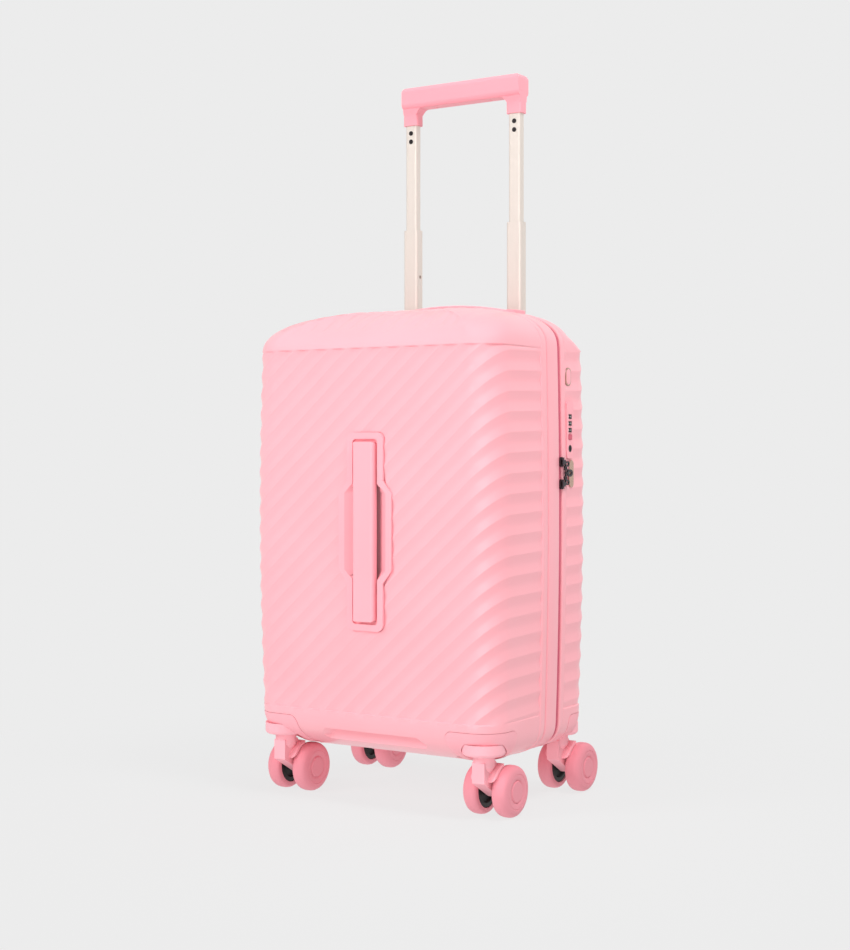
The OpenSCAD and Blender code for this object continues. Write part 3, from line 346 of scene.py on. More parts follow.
def shellPoint(column, level, depth, half, off=0):
    kind, value, side = column
    z, lean = level[0], level[3]
    hw, deep = halfWidth(level, off), half["reach"] - off + half["rim"] - bow(z)
    room = deep * (1 - depthShare(level, 1))
    r = max(case["cornerRadius"] - off, 1)
    r = min(r + lean[2] * math.sqrt(level[2]), 0.94 * room) if lean else r * (1 - level[2])
    start = half["rim"] - room + r
    if kind == "side":
        return Vector((side * (hw - depth), half["rim"] + value * (start - half["rim"]), z))
    if kind == "corner":
        a = math.radians(value)
        return Vector((side * (hw - r + (r - depth) * math.cos(a)), start - (r - depth) * math.sin(a), z))
    reach = deep * (1 - depthShare(level, abs(value) ** 6))
    return Vector((value * (hw - r), half["rim"] - reach + depth, z))


def caseColumns(sideShares, cornerSteps, faceSteps):
    corner = [("corner", 90 * i / cornerSteps, -1) for i in range(cornerSteps + 1)]
    face = [("face", 2 * i / faceSteps - 1, 0) for i in range(1, faceSteps)]
    left = [("side", v, -1) for v in sideShares] + corner
    return left + face + [(k, v, 1) for k, v, _ in reversed(left)]


def ribRise(p, half):
    return ribs["slope"] * p.x + math.copysign(1, p.x) * ribs["sideSlope"] * (p.y + half["reach"])


# Depth of a flute at share f of its width: two faces that meet in a soft crease, with rounded crests
def hollow(f):
    u = abs(2 * (f - math.floor(f)) - 1)
    crest = max(0, (u - (1 - ribs["crest"])) / ribs["crest"])
    return 1 - u ** ribs["curve"] + ribs["rounding"] * crest**2


# Depth of the furrows between the scallops that run over the top edge
def topFurrow(p, rim):
    t = topFlutes
    if not t["left"] < p.x < t["right"] or p.z < t["low"]:
        return 0
    f = (p.x - t["left"]) / t["pitch"] % 1
    grow = min(1, (p.z - t["low"]) / t["lead"]) * min(1, max(0, (rim - 1 - p.y) / t["fade"]))
    return t["depth"] * abs(2 * f - 1) ** t["curve"] * grow


def caseGrid(columns, rows, place):
    bm = bmesh.new()
    nx, ny = len(columns) - 1, len(rows) - 1
    bmesh.ops.create_grid(bm, x_segments=nx, y_segments=ny, size=1)
    for v in bm.verts:
        i, j = round((v.co.x + 1) / 2 * nx), round((v.co.y + 1) / 2 * ny)
        v.co = place(i, j)
    bmesh.ops.remove_doubles(bm, verts=bm.verts, dist=0.01)
    bmesh.ops.dissolve_degenerate(bm, dist=0.005, edges=bm.edges)
    bmesh.ops.recalc_face_normals(bm, faces=bm.faces)
    return bm


def ribbedShell(half, start):
    sideLength = half["rim"] + half["reach"] - case["cornerRadius"]
    sideShares = [0, ribs["runout"] / sideLength, 0.2, 0.4, 0.6, 0.8]
    columns = caseColumns(sideShares, case["cornerSteps"], case["faceSteps"])
    rise = [start + ribRise(shellPoint(c, plainLevel(case["widest"]), 0, half), half) for c in columns]
    n = len(ribs["shares"])
    first = n * math.floor((ribs["lowBand"] - max(rise)) / ribs["pitch"])
    last = n * math.ceil((ribs["highBand"] - min(rise)) / ribs["pitch"])
    lowRows, highRows, growth = case["lowRows"], case["highRows"], case["rowGrowth"]
    rows = [("low", (i / lowRows) ** growth) for i in range(lowRows, -1, -1)]
    rows += [("band", ribs["lowBand"]), ("edge", ribs["lowEdge"])]
    rows += [("rib", k) for k in range(first, last + 1)]
    rows += [("edge", ribs["highEdge"]), ("band", ribs["highBand"])]
    rows += [("high", (i / highRows) ** growth) for i in range(highRows + 1)]
    end = len(columns) - 1

    def place(i, j):
        kind, value = rows[j]
        if kind == "low":
            level = lowLevel(value)
        elif kind == "high":
            level = highLevel(value, half["lean"])
        elif kind == "rib":
            z = rise[i] + ribs["pitch"] * (value // n + ribs["shares"][value % n])
            level = plainLevel(min(max(z, ribs["lowEdge"]), ribs["highEdge"]))
        else:
            level = plainLevel(value)
        depth = 0
        if kind in ("edge", "rib") and 0 < i < end:
            depth = ribs["depth"] * hollow((level[0] - rise[i]) / ribs["pitch"])
            if level[0] > ribs["highEdge"] - 0.01:
                depth *= ribs["undercut"]
        return shellPoint(columns[i], level, depth, half)

    bm = caseGrid(columns, rows, place)
    bm.normal_update()
    outward = 1 if sum(f.normal.y * f.calc_area() for f in bm.faces) < 0 else -1
    for v in bm.verts:
        v.co -= v.normal * outward * topFurrow(v.co, half["rim"])
    return bm


# The lower part of a half's form as one closed solid, without ribs
def plainCase(half, off):
    columns = caseColumns([0, 0.5], case["cornerSteps"], 8)
    lowRows = case["lowRows"]
    levels = [lowLevel((i / lowRows) ** case["rowGrowth"], off) for i in range(lowRows, -1, -1)]
    levels.append(plainLevel(case["plainTop"]))
    bm = caseGrid(columns, levels, lambda i, j: shellPoint(columns[i], levels[j], 0, half, off))
    bmesh.ops.holes_fill(bm, edges=[e for e in bm.edges if e.is_boundary], sides=0)
    bmesh.ops.recalc_face_normals(bm, faces=bm.faces)
    return bm


def thicken(bm, wall):
    bmesh.ops.solidify(bm, geom=bm.faces[:], thickness=wall)
    bmesh.ops.recalc_face_normals(bm, faces=bm.faces)
    return bm


# Cutters below are drawn for the front right and mirrored for the others
def flipped(bm, sides):
    bmesh.ops.scale(bm, vec=(sides[0], sides[1], 1), verts=bm.verts)
    bmesh.ops.recalc_face_normals(bm, faces=bm.faces)
    return bm


# A scratch piece's shape in millimetres; the piece is used up
def shapeOf(piece):
    bm = bmesh.new()
    bm.from_mesh(piece.data)
    bpy.data.objects.remove(piece)
    bmesh.ops.scale(bm, vec=(1000, 1000, 1000), verts=bm.verts)
    return bm


# Wells for the wheels and the disc. The swing is the wider room that the turning wheels need below the well
housing = {"reachX": 66, "reachY": 54, "top": 95, "radius": 9, "casterX": 133, "casterY": 83.2,
           "wellRadius": 40.1, "wellTop": 58.5, "swingRadius": 45.1, "swingTop": 55.8, "discRadius": 24.3,
           "discTop": 82.4, "gap": 0.4, "shellGap": 2.9, "wall": 3, "shellWall": 2.5, "stemRadius": 5.5,
           "bossWall": 2.5, "low": 20, "inward": 65, "beyond": 20, "clear": 10, "proud": 0.3,
           "bevel": 0.0006}


# The corner block is what a box rounded to the front shares with one rounded to the side
def cornerSpace(half, grow, rise=0):
    h, wide, reach = housing, case["halfWidth"], half["reach"]
    low, top, radius = h["low"], h["top"] + grow + rise, h["radius"] + grow
    near, far = h["beyond"], h["beyond"] + h["clear"]
    inner, back = wide - h["reachX"], -reach + h["reachY"] + grow
    face = roundedBox((inner - grow, -reach - near, low), (wide + far, 0, top), 1, radius)
    side = roundedBox((inner - h["inward"], -reach - far, low), (wide + near, back, top), 0, radius)
    return shapeOf(carve(finishPiece("corner", face, None, None), side, "INTERSECT"))


def roundSpace(radius, top):
    bm, low = bmesh.new(), housing["low"]
    bmesh.ops.create_cone(bm, cap_ends=True, segments=96, radius1=radius, radius2=radius, depth=top - low)
    bmesh.ops.translate(bm, vec=(housing["casterX"], -housing["casterY"], (top + low) / 2), verts=bm.verts)
    return bm


def wheelSpace(grow):
    return roundSpace(housing["wellRadius"] + grow, housing["wellTop"] + grow)


def discSpace(grow):
    return roundSpace(housing["discRadius"] + grow, housing["discTop"] + grow)


# The grab recess narrows towards its back
grabRecess = {"half": 90, "top": 83.6, "low": 20, "drop": 9, "lead": 4, "depth": 24, "taper": 0.74, "lean": 4,
              "shoulder": 20, "wall": 2.5, "inset": 0.3}


def grabSpace(grow):
    g = grabRecess
    half = g["half"] + grow
    points = [(-half, g["low"]), (-half + g["lean"], g["top"] - g["drop"]),
              (-half + g["shoulder"], g["top"] + grow), (half - g["shoulder"], g["top"] + grow),
              (half - g["lean"], g["top"] - g["drop"]), (half, g["low"])]
    front, back = -halves["front"]["reach"] - g["lead"], -halves["front"]["reach"] + g["depth"] + grow
    bm = prism(points, 1, front, back)
    for v in bm.verts:
        if v.co.y > front + 1:
            v.co.x *= g["taper"]
    return bm


frontHandle = {"z": 305.8, "narrow": 24, "wide": 35.1, "half": 109.1, "narrowHalf": 56, "wideHalf": 42.3,
               "gap": 0.4, "front": -124, "back": -102, "radius": 8}
# Openings in the rear shell: two corners, the axis that they run along and their radius
rearOpenings = {"trolleyTray": ((-96.4, 78.3, 518), (96.4, 152, 576), 2, 5),
                "topHandle": ((-96.9, 45.6, 516), (96.9, 78.4, 576), 2, 8),
                "lock": ((145, 44.65, 385.85), (185, 59.95, 450.15), 0, 3.15),
                "badge": ((160.9, 46.1, 467.8), (185, 58.5, 488.2), 0, 5.2)}


def handleOutline(grow):
    h = frontHandle
    right = [(h["narrow"] + grow, -h["half"] - grow), (h["narrow"] + grow, -h["narrowHalf"]),
             (h["wide"] + grow, -h["wideHalf"]), (h["wide"] + grow, h["wideHalf"]),
             (h["narrow"] + grow, h["narrowHalf"]), (h["narrow"] + grow, h["half"] + grow)]
    return [(x, z + h["z"]) for x, z in right + [(-x, z) for x, z in reversed(right)]]


def cutForHousings(shell, half, way):
    for side in (1, -1):
        carve(shell, flipped(cornerSpace(half, housing["gap"]), (side, way)))
        carve(shell, flipped(wheelSpace(housing["shellGap"]), (side, way)))
        carve(shell, flipped(discSpace(housing["shellGap"]), (side, way)))


def makeShells():
    half, h, sharp = halves["front"], frontHandle, case["sharpAngle"]
    bm = thicken(ribbedShell(half, ribs["start"]), case["wall"])
    front = finishPiece("frontShell", bm, shellPlastic, "front_case", "front_shell", sharpAngle=sharp)
    cutForHousings(front, half, 1)
    carve(front, prism(handleOutline(h["gap"]), 1, h["front"], h["back"], h["radius"]))
    recess = finishPiece("recess", grabSpace(grabRecess["wall"]), None, None)
    carve(recess, plainCase(half, grabRecess["inset"]), "INTERSECT")
    carve(front, shapeOf(recess), "UNION")
    carve(front, grabSpace(0))
    resharpen(front, sharp)

    # The rear half is made facing forward and turned round, and its ribs go on where the front's end
    half, wide = halves["rear"], 2 * case["halfWidth"]
    deep = halves["front"]["reach"] + half["reach"]
    start = ribs["start"] + ribs["slope"] * wide + ribs["sideSlope"] * deep
    bm = thicken(ribbedShell(half, start), case["wall"])
    bmesh.ops.rotate(bm, matrix=Matrix.Rotation(math.pi, 3, "Z"), verts=bm.verts)
    rear = finishPiece("rearShell", bm, shellPlastic, "rear_case", "rear_shell", sharpAngle=sharp)
    cutForHousings(rear, half, -1)
    for opening in rearOpenings.values():
        carve(rear, roundedBox(*opening))
    resharpen(rear, sharp)
    return front, rear


frontShell, rearShell = makeShells()
print("shells made", len(frontShell.data.polygons), len(rearShell.data.polygons))


# A housing is a closed skin round the caster's disc and wheels, open above, with a boss for the stem
def makeHousings():
    for key, way in (("front", 1), ("rear", -1)):
        half, node, parts = halves[key], key + "_caster_housings", []
        for side in (1, -1):
            block = finishPiece("block", cornerSpace(half, 0), None, None)
            carve(block, wheelSpace(housing["shellWall"]), "UNION")
            carve(block, discSpace(housing["shellWall"]), "UNION")
            carve(block, plainCase(half, -housing["proud"]), "INTERSECT")
            room = finishPiece("room", cornerSpace(half, -housing["wall"], 20), None, None)
            carve(room, plainCase(half, housing["wall"]), "INTERSECT")
            carve(room, wheelSpace(housing["shellWall"]))
            carve(room, discSpace(housing["shellWall"]))
            carve(room, roundSpace(housing["stemRadius"] + housing["bossWall"], housing["top"]))
            carve(block, shapeOf(room))
            carve(block, wheelSpace(0))
            carve(block, roundSpace(housing["swingRadius"], housing["swingTop"]))
            carve(block, discSpace(0))
            parts.append(flipped(shapeOf(block), (side, way)))
        joined = bmesh.new()
        for bm in parts:
            mesh = bpy.data.meshes.new("part")
            bm.to_mesh(mesh)
            bm.free()
            joined.from_mesh(mesh)
        bmesh.ops.remove_doubles(joined, verts=joined.verts, dist=0.001)
        bmesh.ops.dissolve_limit(joined, angle_limit=math.radians(0.5), verts=joined.verts,
                                 edges=joined.edges)
        piece = finishPiece("cornerHousings" + key.title(), joined, handlePlastic, bodyOf[node], node)
        bevel = piece.modifiers.new("edges", "BEVEL")
        bevel.width, bevel.segments = housing["bevel"], 2
        bevel.limit_method, bevel.angle_limit = "ANGLE", math.radians(40)
        applyModifiers(piece)
        resharpen(piece, 40)
        evenNormals(piece)


makeHousings()
print("corner housings made")

# ---------- rims and zipper ----------


# Points of the rim plane's outline as (x, z), about one step apart, with the inward direction at each
def rimPath(step):
    shares = [(i / 40) ** 1.5 for i in range(41)]
    levels = [lowLevel(share) for share in reversed(shares)]
    levels += [plainLevel(z) for z in range(110, 505, 15)]
    levels += [highLevel(share, None) for share in shares]
    right = [Vector((halfWidth(level), level[0])) for level in levels]
    corners = right + [Vector((-p.x, p.y)) for p in reversed(right)]
    corners.append(corners[0])
    points = []
    for a, b in zip(corners, corners[1:]):
        n = max(1, round((b - a).length / step))
        points += [a.lerp(b, i / n) for i in range(n)]
    inward = []
    for i in range(len(points)):
        along = points[(i + 1) % len(points)] - points[i - 1]
        inward.append(Vector((-along.y, along.x)).normalized())
    return list(zip(points, inward))


# A closed section carried round the rim's outline; section(i) gives (y, inset) points at step i
def sweptRing(path, section):
    bm = bmesh.new()
    nx, ny = len(path), len(section(0))
    bmesh.ops.create_grid(bm, x_segments=nx, y_segments=ny, size=1)
    for v in bm.verts:
        i, j = round((v.co.x + 1) / 2 * nx) % nx, round((v.co.y + 1) / 2 * ny) % ny
        y, inset = section(i)[j]
        p = path[i][0] + path[i][1] * inset
        v.co = (p.x, y, p.y)
    bmesh.ops.remove_doubles(bm, verts=bm.verts, dist=0.001)
    bmesh.ops.recalc_face_normals(bm, faces=bm.faces)
    return bm


# Rounded corner of a section, from one direction to the next
def fillet(y, inset, r, start, turn=-90, steps=4):
    return [(y + r * math.cos(math.radians(start + turn * i / steps)),
             inset - r * math.sin(math.radians(start + turn * i / steps))) for i in range(steps + 1)]


# Front rim: a lip, a bead, a groove and the wide bead beside the zipper; the rear rim is one bead
rimSections = {"front": [(-10, 2.5), *fillet(-9, 0.5, 1, 180), *fillet(-1.2, 0.5, 1, 90), (0.4, 1.2),
                         (3.6, 1.2), *fillet(6, 2, 2, 180), *fillet(26.5, 2, 2, 90), (28.5, 2.5)],
               "rear": [(35.5, 2.5), *fillet(37.1, 1.6, 1.6, 180), *fillet(43.5, 0.5, 0.5, 90), (44, 2.5)]}
tape = {"front": (18, 31.85), "rear": (32.15, 43.4), "insets": (2.6, 3.8)}
# Each row of teeth: its outer and inner edge, and its shift as a share of a tooth
coil = {"pitch": 2.0, "stepsPerTooth": 4, "proud": 0.5, "slants": (0, 0.8, 1.6), "base": 2.5, "edge": 1.9,
        "crown": 1.6, "front": (30.2, 31.9, 0), "rear": (33.8, 32.1, 0.5)}


def makeRims():
    path = rimPath(4)
    for key in ("front", "rear"):
        finishPiece(key + "Rim", sweptRing(path, lambda i: rimSections[key]), shellPlastic, key + "_case",
                    key + "_rim", sharpAngle=35)
    outer, inner = tape["insets"]
    for key in ("front", "rear"):
        y0, y1 = tape[key]
        section = [(y0, outer), (y1, outer), (y1, inner), (y0, inner)]
        finishPiece(key + "ZipperTape", sweptRing(path, lambda i: section), tapeCloth, key + "_case",
                    key + "_zipper_tape", sharpAngle=35)


# The coil's teeth lean over the gap: each half is a row of low humps, half a tooth apart
def makeCoils():
    fine = rimPath(coil["pitch"] / coil["stepsPerTooth"])
    base, edge, crown = coil["base"], coil["edge"], coil["crown"]
    for key in ("front", "rear"):
        y0, y1, shift = coil[key]

        def section(i):
            turn = math.tau * (i / coil["stepsPerTooth"] + shift)
            hump = [coil["proud"] * (0.5 + 0.5 * math.cos(turn + slant)) for slant in coil["slants"]]
            middle = ((y0 + y1) / 2, crown - hump[1])
            return [(y0, base), (y0, edge - hump[0]), middle, (y1, edge - hump[2]), (y1, base)]

        piece = finishPiece(key + "Coil", sweptRing(fine, section), coilNylon, key + "_case", sharpAngle=50)


makeRims()
makeCoils()
print("rims and zipper made")

# ---------- small moulded pieces ----------

softened("front_handle_bezel", "frontHandleBezel", handlePlastic, 0.9, 4)
softened("front_handle_bar", "frontHandleBar", handlePlastic, 1.2, 4)
softened("top_handle_bezel", "topHandleBezel", handlePlastic, 0.7)
softened("top_handle_bar", "topHandleBar", handlePlastic, 1.2, 4)
softened("trolley_tray", "trolleyTray", handlePlastic, 0.8)
softened("grip", "grip", gripPlastic, 1.0, 4)
softened("grip_button", "gripButton", handlePlastic, 0.6)
softened("lock_body", "lockBody", handlePlastic, 0, sharpAngle=30)
softened("lock_button", "lockButton", buttonPlastic, 0.3)
softened("lock_barrel", "lockBarrel", hubPlastic, 0.15)
softened("trim_plates", "trimPlates", plateMetal, 0.3)
for which in ("upper", "lower"):
    softened("slider_" + which, which + "Slider", pullMetal, 0.3)
    softened("pull_" + which, which + "Pull", pullMetal, 0.25)
numerals = {"size": 3.3, "axis": (159.9, 52.3), "top": 433, "pitch": 7.6, "radius": 6.5, "proud": 0.05,
            "half": 0.1}


# A dial's numerals lie round it, and each is read with the case on its side
def makeNumerals(i):
    n, joined = numerals, bmesh.new()
    axisX, axisY = n["axis"]
    for digit in range(10):
        curve = bpy.data.curves.new("numeral", "FONT")
        curve.body, curve.size, curve.extrude = str(digit), n["size"], n["half"]
        curve.align_x, curve.align_y = "CENTER", "CENTER"
        text = bpy.data.objects.new("numeral", curve)
        bpy.context.collection.objects.link(text)
        mesh = bpy.data.meshes.new_from_object(text)
        bpy.data.objects.remove(text)
        for v in mesh.vertices:
            turn = math.radians(36 * digit) + v.co.y / n["radius"]
            out = n["radius"] + n["proud"] + v.co.z - n["half"]
            v.co = (axisX + out * math.cos(turn), axisY + out * math.sin(turn),
                    n["top"] - (i - 1) * n["pitch"] - v.co.x)
        joined.from_mesh(mesh)
    piece = finishPiece(f"numerals{i}", joined, dialPlastic, bodyOf[f"dial_{i}"], sharpAngle=30)


for i in (1, 2, 3):
    softened(f"dial_{i}", f"dial{i}", dialBlack, 0.2)
    makeNumerals(i)


inlay = {"low": (162.2, 47.5, 469.3), "high": (163.75, 57.1, 486.7), "radius": 4.5, "edge": 0.3}


# The badge's plain inlay inside its plated border
def makeInlay():
    bm = roundedBox(inlay["low"], inlay["high"], 0, inlay["radius"], 10)
    face = [e for e in bm.edges if all(v.co.x > inlay["high"][0] - 0.05 for v in e.verts)]
    bevelEdges(bm, face, inlay["edge"], 3)
    finishPiece("badgeInlay", bm, handlePlastic, bodyOf["trim_plates"])


makeInlay()
for node in ("outer_tubes", "middle_tubes", "upper_tubes", "release_rods"):
    dressed(node, tubeMetal)
dressed("grip_screws", screwMetal)
print("small pieces made")

# ---------- cloth inside ----------

lining = {"halfWidth": 149.4, "low": 98.6, "high": 519.4, "roundness": 7, "around": 180, "folds": 1.0,
          "thickness": 0.7, "hemInset": 3.2, "slack": 2.5, "wallFold": 26, "floorFold": 45, "floorSwell": 0.8}


# Gentle waviness of hung cloth, in waves of about one size
def ripple(x, y, z, size):
    return noise.noise(Vector((x, y, z)) / size)


# A tray of cloth: a floor at one depth, walls to the hem, and the hem out to the rim
def clothTray(name, tray, body, node):
    floor, hem, flat, area = (tray[key] for key in ("floor", "hem", "flat", "area"))
    middle = (lining["low"] + lining["high"]) / 2
    half = (lining["high"] - lining["low"]) / 2
    way = math.copysign(1, hem - floor)
    rim = [p + inward * lining["hemInset"] for p, inward in rimPath(3)]
    rim = sorted((math.atan2(p.y - middle, p.x), p) for p in rim)
    edges = []
    for i in range(lining["around"]):
        a = math.tau * i / lining["around"]
        c, s = math.cos(a), math.sin(a)
        power = 2 / lining["roundness"]
        edge = Vector((math.copysign(abs(c) ** power, c) * lining["halfWidth"],
                       math.copysign(abs(s) ** power, s) * half))
        turn = math.atan2(edge.y, edge.x)
        outer = min(rim, key=lambda r: abs((r[0] - turn + math.pi) % math.tau - math.pi))[1]
        edges.append((edge, Vector((outer.x, max(outer.y, tray["lowest"]) - middle))))
    rings = [(share, 0, 0) for share in (0.01, 0.2, 0.4, 0.6, 0.75, 0.88, 0.96)]
    rings += [(1, depth, 0) for depth in (0.02, 0.06, 0.14, 0.25, 0.38, 0.5, 0.62, 0.74, 0.86, 0.95, 1)]
    rings += [(1, 1, out) for out in (0.15, 0.5, 1)]
    bm = bmesh.new()
    nx, ny = lining["around"], len(rings) - 1
    bmesh.ops.create_grid(bm, x_segments=nx, y_segments=ny, size=1)
    for v in bm.verts:
        i, j = round((v.co.x + 1) / 2 * nx) % nx, round((v.co.y + 1) / 2 * ny)
        share, depth, out = rings[j]
        edge, outer = edges[i]
        p = (edge * share).lerp(outer, out)
        y = floor + (hem - floor) * depth
        slack = math.sin(math.pi * min(1, depth)) * (1 - out)
        if share == 1:
            wave = lining["folds"] * 2 * ripple(p.x, y * 0.35, p.y, lining["wallFold"])
            p -= p.normalized() * slack * (lining["slack"] + wave)
        rise = 0
        if share < 1:
            rise = lining["floorSwell"] + ripple(p.x, 7, p.y, lining["floorFold"])
            rise *= (1 - share**6) * lining["folds"]
        v.co = (p.x, y + way * rise, p.y + middle)
    bmesh.ops.remove_doubles(bm, verts=bm.verts, dist=0.001)
    bmesh.ops.holes_fill(bm, edges=[e for e in bm.edges if e.is_boundary and e.calc_length() < 0.3], sides=0)
    bmesh.ops.recalc_face_normals(bm, faces=bm.faces)
    print(name, "area", round(sum(f.calc_area() for f in bm.faces) * 1e-6, 4))
    bmesh.ops.solidify(bm, geom=bm.faces[:], thickness=lining["thickness"])
    bmesh.ops.recalc_face_normals(bm, faces=bm.faces)
    piece = finishPiece(name, bm, liningCloth, body, node, sharpAngle=60)
    return piece


# A flat band or panel of cloth: place(u, v) puts a point of its unit square
def clothPanel(name, across, along, place, material, body, thickness):
    bm = bmesh.new()
    bmesh.ops.create_grid(bm, x_segments=across, y_segments=along, size=1)
    for v in bm.verts:
        v.co = place((v.co.x + 1) / 2, (v.co.y + 1) / 2)
    print(name, "area", round(sum(f.calc_area() for f in bm.faces) * 1e-6, 5))
    bmesh.ops.solidify(bm, geom=bm.faces[:], thickness=thickness)
    bmesh.ops.recalc_face_normals(bm, faces=bm.faces)
    return finishPiece(name, bm, material, body, sharpAngle=60)


trays = {"front": {"floor": -94.4, "hem": 17.2, "lowest": 55, "flat": (0.59, 0.76), "area": 0.36},
         "rear": {"floor": 74.5, "hem": 44.6, "lowest": 63, "flat": (0.42, 0.55), "area": 0.2}}
# The rear lining's opening behind the lock
lockNotch = ((147, 40, 350), (190, 66, 452), 0, 3)


def makeLinings():
    clothTray("frontLining", trays["front"], "front_case", "front_lining")
    rear = clothTray("rearLining", trays["rear"], "rear_case", "rear_lining")
    carve(rear, roundedBox(*lockNotch))
    resharpen(rear, 60)


pocket = {"half": 120, "low": 128, "high": 390, "floor": -92.9, "swell": 5, "wave": 2, "gathers": 95,
          "gatherDepth": 0.5, "gatherFrom": 0.86, "hem": 12, "hemOut": 0.75, "hemUp": 0.8}


# The pocket is sewn down on three sides and gathered along its top
def makePocket():
    p, height = pocket, pocket["high"] - pocket["low"]

    def pocketPoint(u, v):
        x, z = (2 * u - 1) * p["half"], p["low"] + height * v
        loose = math.sin(math.pi * u) ** 0.7 * v**1.5
        high = max(0, v - p["gatherFrom"])
        gather = p["gatherDepth"] * math.sin(u * p["gathers"]) * high / (1 - p["gatherFrom"]) * loose
        return (x, p["floor"] + loose * (p["swell"] + p["wave"] * ripple(x, 0, z, 40)) + gather, z)

    panel = clothPanel("liningPocket", 120, 60, pocketPoint, liningCloth, "front_case", 0.6)
    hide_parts("front_pocket")

    def hemPoint(u, v):
        x, y, z = pocketPoint(u, 1 - v * p["hem"] / height)
        return (x, y + p["hemOut"], z + p["hemUp"])

    hem = clothPanel("pocketHem", 120, 4, hemPoint, strapCloth, "front_case", 0.5)


# Where the straps cross they lift towards the buckle, one over the other
straps = {"middle": 309, "length": 420, "width": 25, "angle": 56.8, "depth": 71.2, "lift": 3.0,
          "liftLength": 42, "over": 0.5}
# The buckle's body, its two slots and the hollow in its face, as corners and radii
buckle = {"low": (-25, 64.4, 292), "high": (25, 69.2, 326), "radius": 6, "edge": 1.2,
          "slots": (((-17, 62, 297), (-14, 72, 321), 1, 1.2), ((14, 62, 297), (17, 72, 321), 1, 1.2)),
          "hollow": ((-8, 62, 304), (8, 65.4, 314), 1, 2)}


def makeStraps():
    for key, side in (("A", 1), ("B", -1)):

        def strapPoint(u, v):
            a = math.radians(straps["angle"]) * side
            d, w = (v - 0.5) * straps["length"], (u - 0.5) * straps["width"]
            near = math.exp(-((d / straps["liftLength"]) ** 2))
            y = straps["depth"] - straps["lift"] * near + straps["over"] * (1 - side) * near
            z = straps["middle"] + d * math.sin(a) + w * math.cos(a)
            return (d * math.cos(a) - w * math.sin(a), y, z)

        band = clothPanel("packingStrap" + key, 6, 90, strapPoint, strapCloth, "rear_case", 1.0)
        if side > 0:
            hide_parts("packing_straps")


def makeBuckle():
    bm = roundedBox(buckle["low"], buckle["high"], 1, buckle["radius"])
    bevelEdges(bm, [e for e in bm.edges if e.calc_face_angle(0) > 1.2], buckle["edge"], 3)
    piece = finishPiece("strapBuckle", bm, handlePlastic, "rear_case", sharpAngle=40)
    for cut in (*buckle["slots"], buckle["hollow"]):
        carve(piece, roundedBox(*cut))
    resharpen(piece, 40)


gusset = {"low": 131, "high": 479, "front": 26, "back": 38, "out": 165.7, "bulge": 0.9, "wave": 0.15}


# Cloth hinge over the gap on the left side
def makeHingeCloth():
    g = gusset

    def gussetPoint(u, v):
        y, z = g["front"] + (g["back"] - g["front"]) * u, g["low"] + (g["high"] - g["low"]) * v
        out = g["out"] - bow(z) + g["bulge"] * math.sin(math.pi * u) + g["wave"] * ripple(0, y, z, 14)
        return (-out, y, z)

    cloth = clothPanel("hingeCloth", 12, 120, gussetPoint, tapeCloth, None, 0.7)
    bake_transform(cloth)
    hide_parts("hinge_gusset")


makeLinings()
makePocket()
makeStraps()
makeBuckle()
makeHingeCloth()
print("cloth made")

# ---------- casters ----------

wheel = {"radius": 28, "width": 19, "offset": 18.2, "trail": 25}
# Sections as (distance from the wheel's inner face, radius): the grooved tread and the hub inside it
treadSection = [(13, 0.001), (13, 20.95), (0.6, 20.95), (0.6, 24.6), (1.6, 26.2), (3.6, 27.4), (6.4, 28),
                (11, 28), (13.6, 27.6), (16.0, 26.4), (17.8, 24.4), (18.7, 21.8), (18.9, 19.6), (18.5, 19.3),
                (18.5, 18.7), (18.8, 18.3), (18.6, 15.5), (18.1, 12.7), (17.5, 12.1), (18.1, 11.4),
                (18.9, 10.9), (19, 9.6), (18.9, 5), (18.9, 0.001)]
hubSection = [(3.0, 3.05), (1.6, 3.4), (1.5, 6.8), (2.0, 7.2), (4.6, 7.6), (5.4, 9), (5.6, 13.4),
              (4.8, 14.6), (2.2, 15.2), (1.5, 15.8), (1.5, 20.2), (2.1, 20.9), (12.95, 20.9),
              (12.95, 3.05), (3.0, 3.05)]


# A wheel's section turned round its axle
def turned(section, segments=72):
    bm = bmesh.new()
    verts = [bm.verts.new((x, 0, r)) for x, r in section]
    edges = [bm.edges.new((verts[i], verts[i + 1])) for i in range(len(verts) - 1)]
    bmesh.ops.spin(bm, geom=verts + edges, cent=(0, 0, 0), axis=(1, 0, 0), angle=math.tau, steps=segments,
                   use_merge=True)
    bmesh.ops.remove_doubles(bm, verts=bm.verts, dist=0.001)
    bmesh.ops.recalc_face_normals(bm, faces=bm.faces)
    return bm


def makeWheels():
    parts = (("tyre", treadSection, wheelRubber), ("core", hubSection, hubPlastic))
    for along in ("front", "rear"):
        for across in ("left", "right"):
            corner = f"{along}_{across}"
            x = housing["casterX"] * (1 if across == "right" else -1)
            y = housing["casterY"] * (1 if along == "rear" else -1)
            for key, side in (("a", -1), ("b", 1)):
                at = (x + side * (wheel["offset"] - wheel["width"] / 2), y + wheel["trail"], wheel["radius"])
                for part, section, material in parts:
                    bm = turned(section)
                    bmesh.ops.scale(bm, vec=(side, 1, 1), verts=bm.verts)
                    bmesh.ops.translate(bm, vec=at, verts=bm.verts)
                    bmesh.ops.recalc_face_normals(bm, faces=bm.faces)
                    node = f"{corner}_{part}_{key}"
                    finishPiece(node + "Piece", bm, material, bodyOf[node], node, sharpAngle=40)
            softened(corner + "_fork", corner + "Fork", casterPlastic, 1.0, 3, 30)
            dressed(corner + "_axle", screwMetal)


makeWheels()
print("casters made")

# ---------- room, lamps and camera ----------

# The floor fades into the backdrop between two distances, in metres
studio = {"backdrop": "#ECECEC", "ambient": 0.27, "floorRadius": 40, "fadeStart": 0.2, "fadeEnd": 0.7,
          "glow": 0.9}


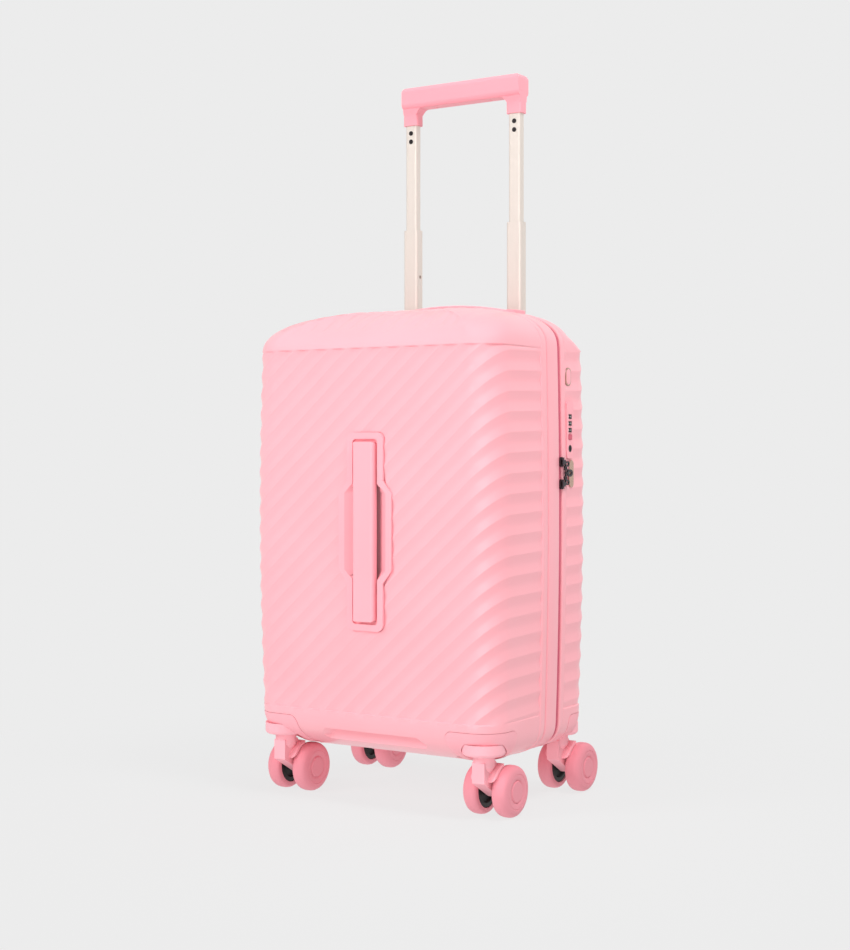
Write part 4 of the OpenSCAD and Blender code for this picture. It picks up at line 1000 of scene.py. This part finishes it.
def makeFloor():
    bm = bmesh.new()
    bmesh.ops.create_circle(bm, cap_ends=True, segments=64, radius=studio["floorRadius"])
    floor = finishPiece("floor", bm, None, None, scale=1)
    material, tree, shader = newMaterial("paleFloor", studio["backdrop"], 0.9)
    coords = addNode(tree, "ShaderNodeTexCoord")
    distance = addNode(tree, "ShaderNodeVectorMath", {"operation": "LENGTH"}, {0: coords.outputs["Object"]})
    fade = {"From Min": studio["fadeStart"], "From Max": studio["fadeEnd"], "To Min": studio["glow"]}
    far = addNode(tree, "ShaderNodeMapRange", fade, {"Value": distance.outputs["Value"]})
    glow = addNode(tree, "ShaderNodeEmission", {"Color": linear(studio["backdrop"])})
    mix = addNode(tree, "ShaderNodeMixShader", links={0: far.outputs[0], 1: shader.outputs[0],
                  2: glow.outputs[0]})
    tree.links.new(mix.outputs[0], tree.nodes["Material Output"].inputs["Surface"])
    floor.data.materials.append(material)


def makeWorld():
    world = bpy.data.worlds.new("studio")
    bpy.context.scene.world = world
    world.use_nodes = True
    tree = world.node_tree
    path = addNode(tree, "ShaderNodeLightPath")
    plain = tree.nodes["Background"]
    plain.inputs["Color"].default_value = (1, 1, 1, 1)
    plain.inputs["Strength"].default_value = studio["ambient"]
    seen = addNode(tree, "ShaderNodeBackground", {"Color": linear(studio["backdrop"]), "Strength": 1})
    either = addNode(tree, "ShaderNodeMath", {"operation": "MAXIMUM"}, {0: path.outputs["Is Camera Ray"],
                     1: path.outputs["Is Glossy Ray"]})
    mix = addNode(tree, "ShaderNodeMixShader", links={0: either.outputs[0], 1: plain.outputs[0],
                  2: seen.outputs[0]})
    tree.links.new(mix.outputs[0], tree.nodes["World Output"].inputs["Surface"])


# Only the lamps whose shows is True are seen in the gloss: a small one at the left, a wide one at the right
lamps = {"key": {"at": (-1.5, -2.6, 1.9), "size": 1.1, "power": 47, "shows": False},
         "glint": {"at": (-1.3, -2.7, 1.45), "size": 0.3, "power": 2, "shows": True},
         "broad": {"at": (0.9, -3.0, 0.7), "size": 2.2, "power": 20, "shows": True},
         "fill": {"at": (1.35, -2.1, 0.5), "size": 0.4, "power": 5, "shows": False},
         "side": {"at": (1.3, -0.35, 2.5), "size": 0.7, "power": 38, "shows": False},
         "low": {"at": (0.5, -2.4, 0.12), "size": 0.8, "power": 7, "shows": False},
         "back": {"at": (0.6, 2.6, 1.6), "size": 1.8, "power": 24, "shows": False}}
lampAim = (0, 0, 0.35)


def makeLamps():
    for name, lamp in lamps.items():
        data = bpy.data.lights.new(name, "AREA")
        data.size, data.energy = lamp["size"], lamp["power"]
        lampObject = bpy.data.objects.new(name, data)
        lampObject.location = lamp["at"]
        lampObject.visible_glossy = lamp["shows"]
        toward = Vector(lampAim) - Vector(lamp["at"])
        lampObject.rotation_euler = toward.to_track_quat("-Z", "Y").to_euler()
        bpy.context.collection.objects.link(lampObject)


view = {"at": (1.0456, -1.6185, 0.3959), "azimuth": 32.75, "lens": 63.21, "shiftY": -0.0268, "sensor": 36}


def makeCamera():
    data = bpy.data.cameras.new("camera")
    data.sensor_width, data.sensor_fit = view["sensor"], "AUTO"
    data.lens, data.shift_y = view["lens"], view["shiftY"]
    data.clip_start, data.clip_end = 0.05, 100
    camera = bpy.data.objects.new("camera", data)
    camera.location = view["at"]
    camera.rotation_euler = (math.pi / 2, 0, math.radians(view["azimuth"]))
    bpy.context.collection.objects.link(camera)
    bpy.context.scene.camera = camera


makeFloor()
makeWorld()
makeLamps()
makeCamera()
bpy.context.scene.view_settings.view_transform = "Standard"
print("room made")
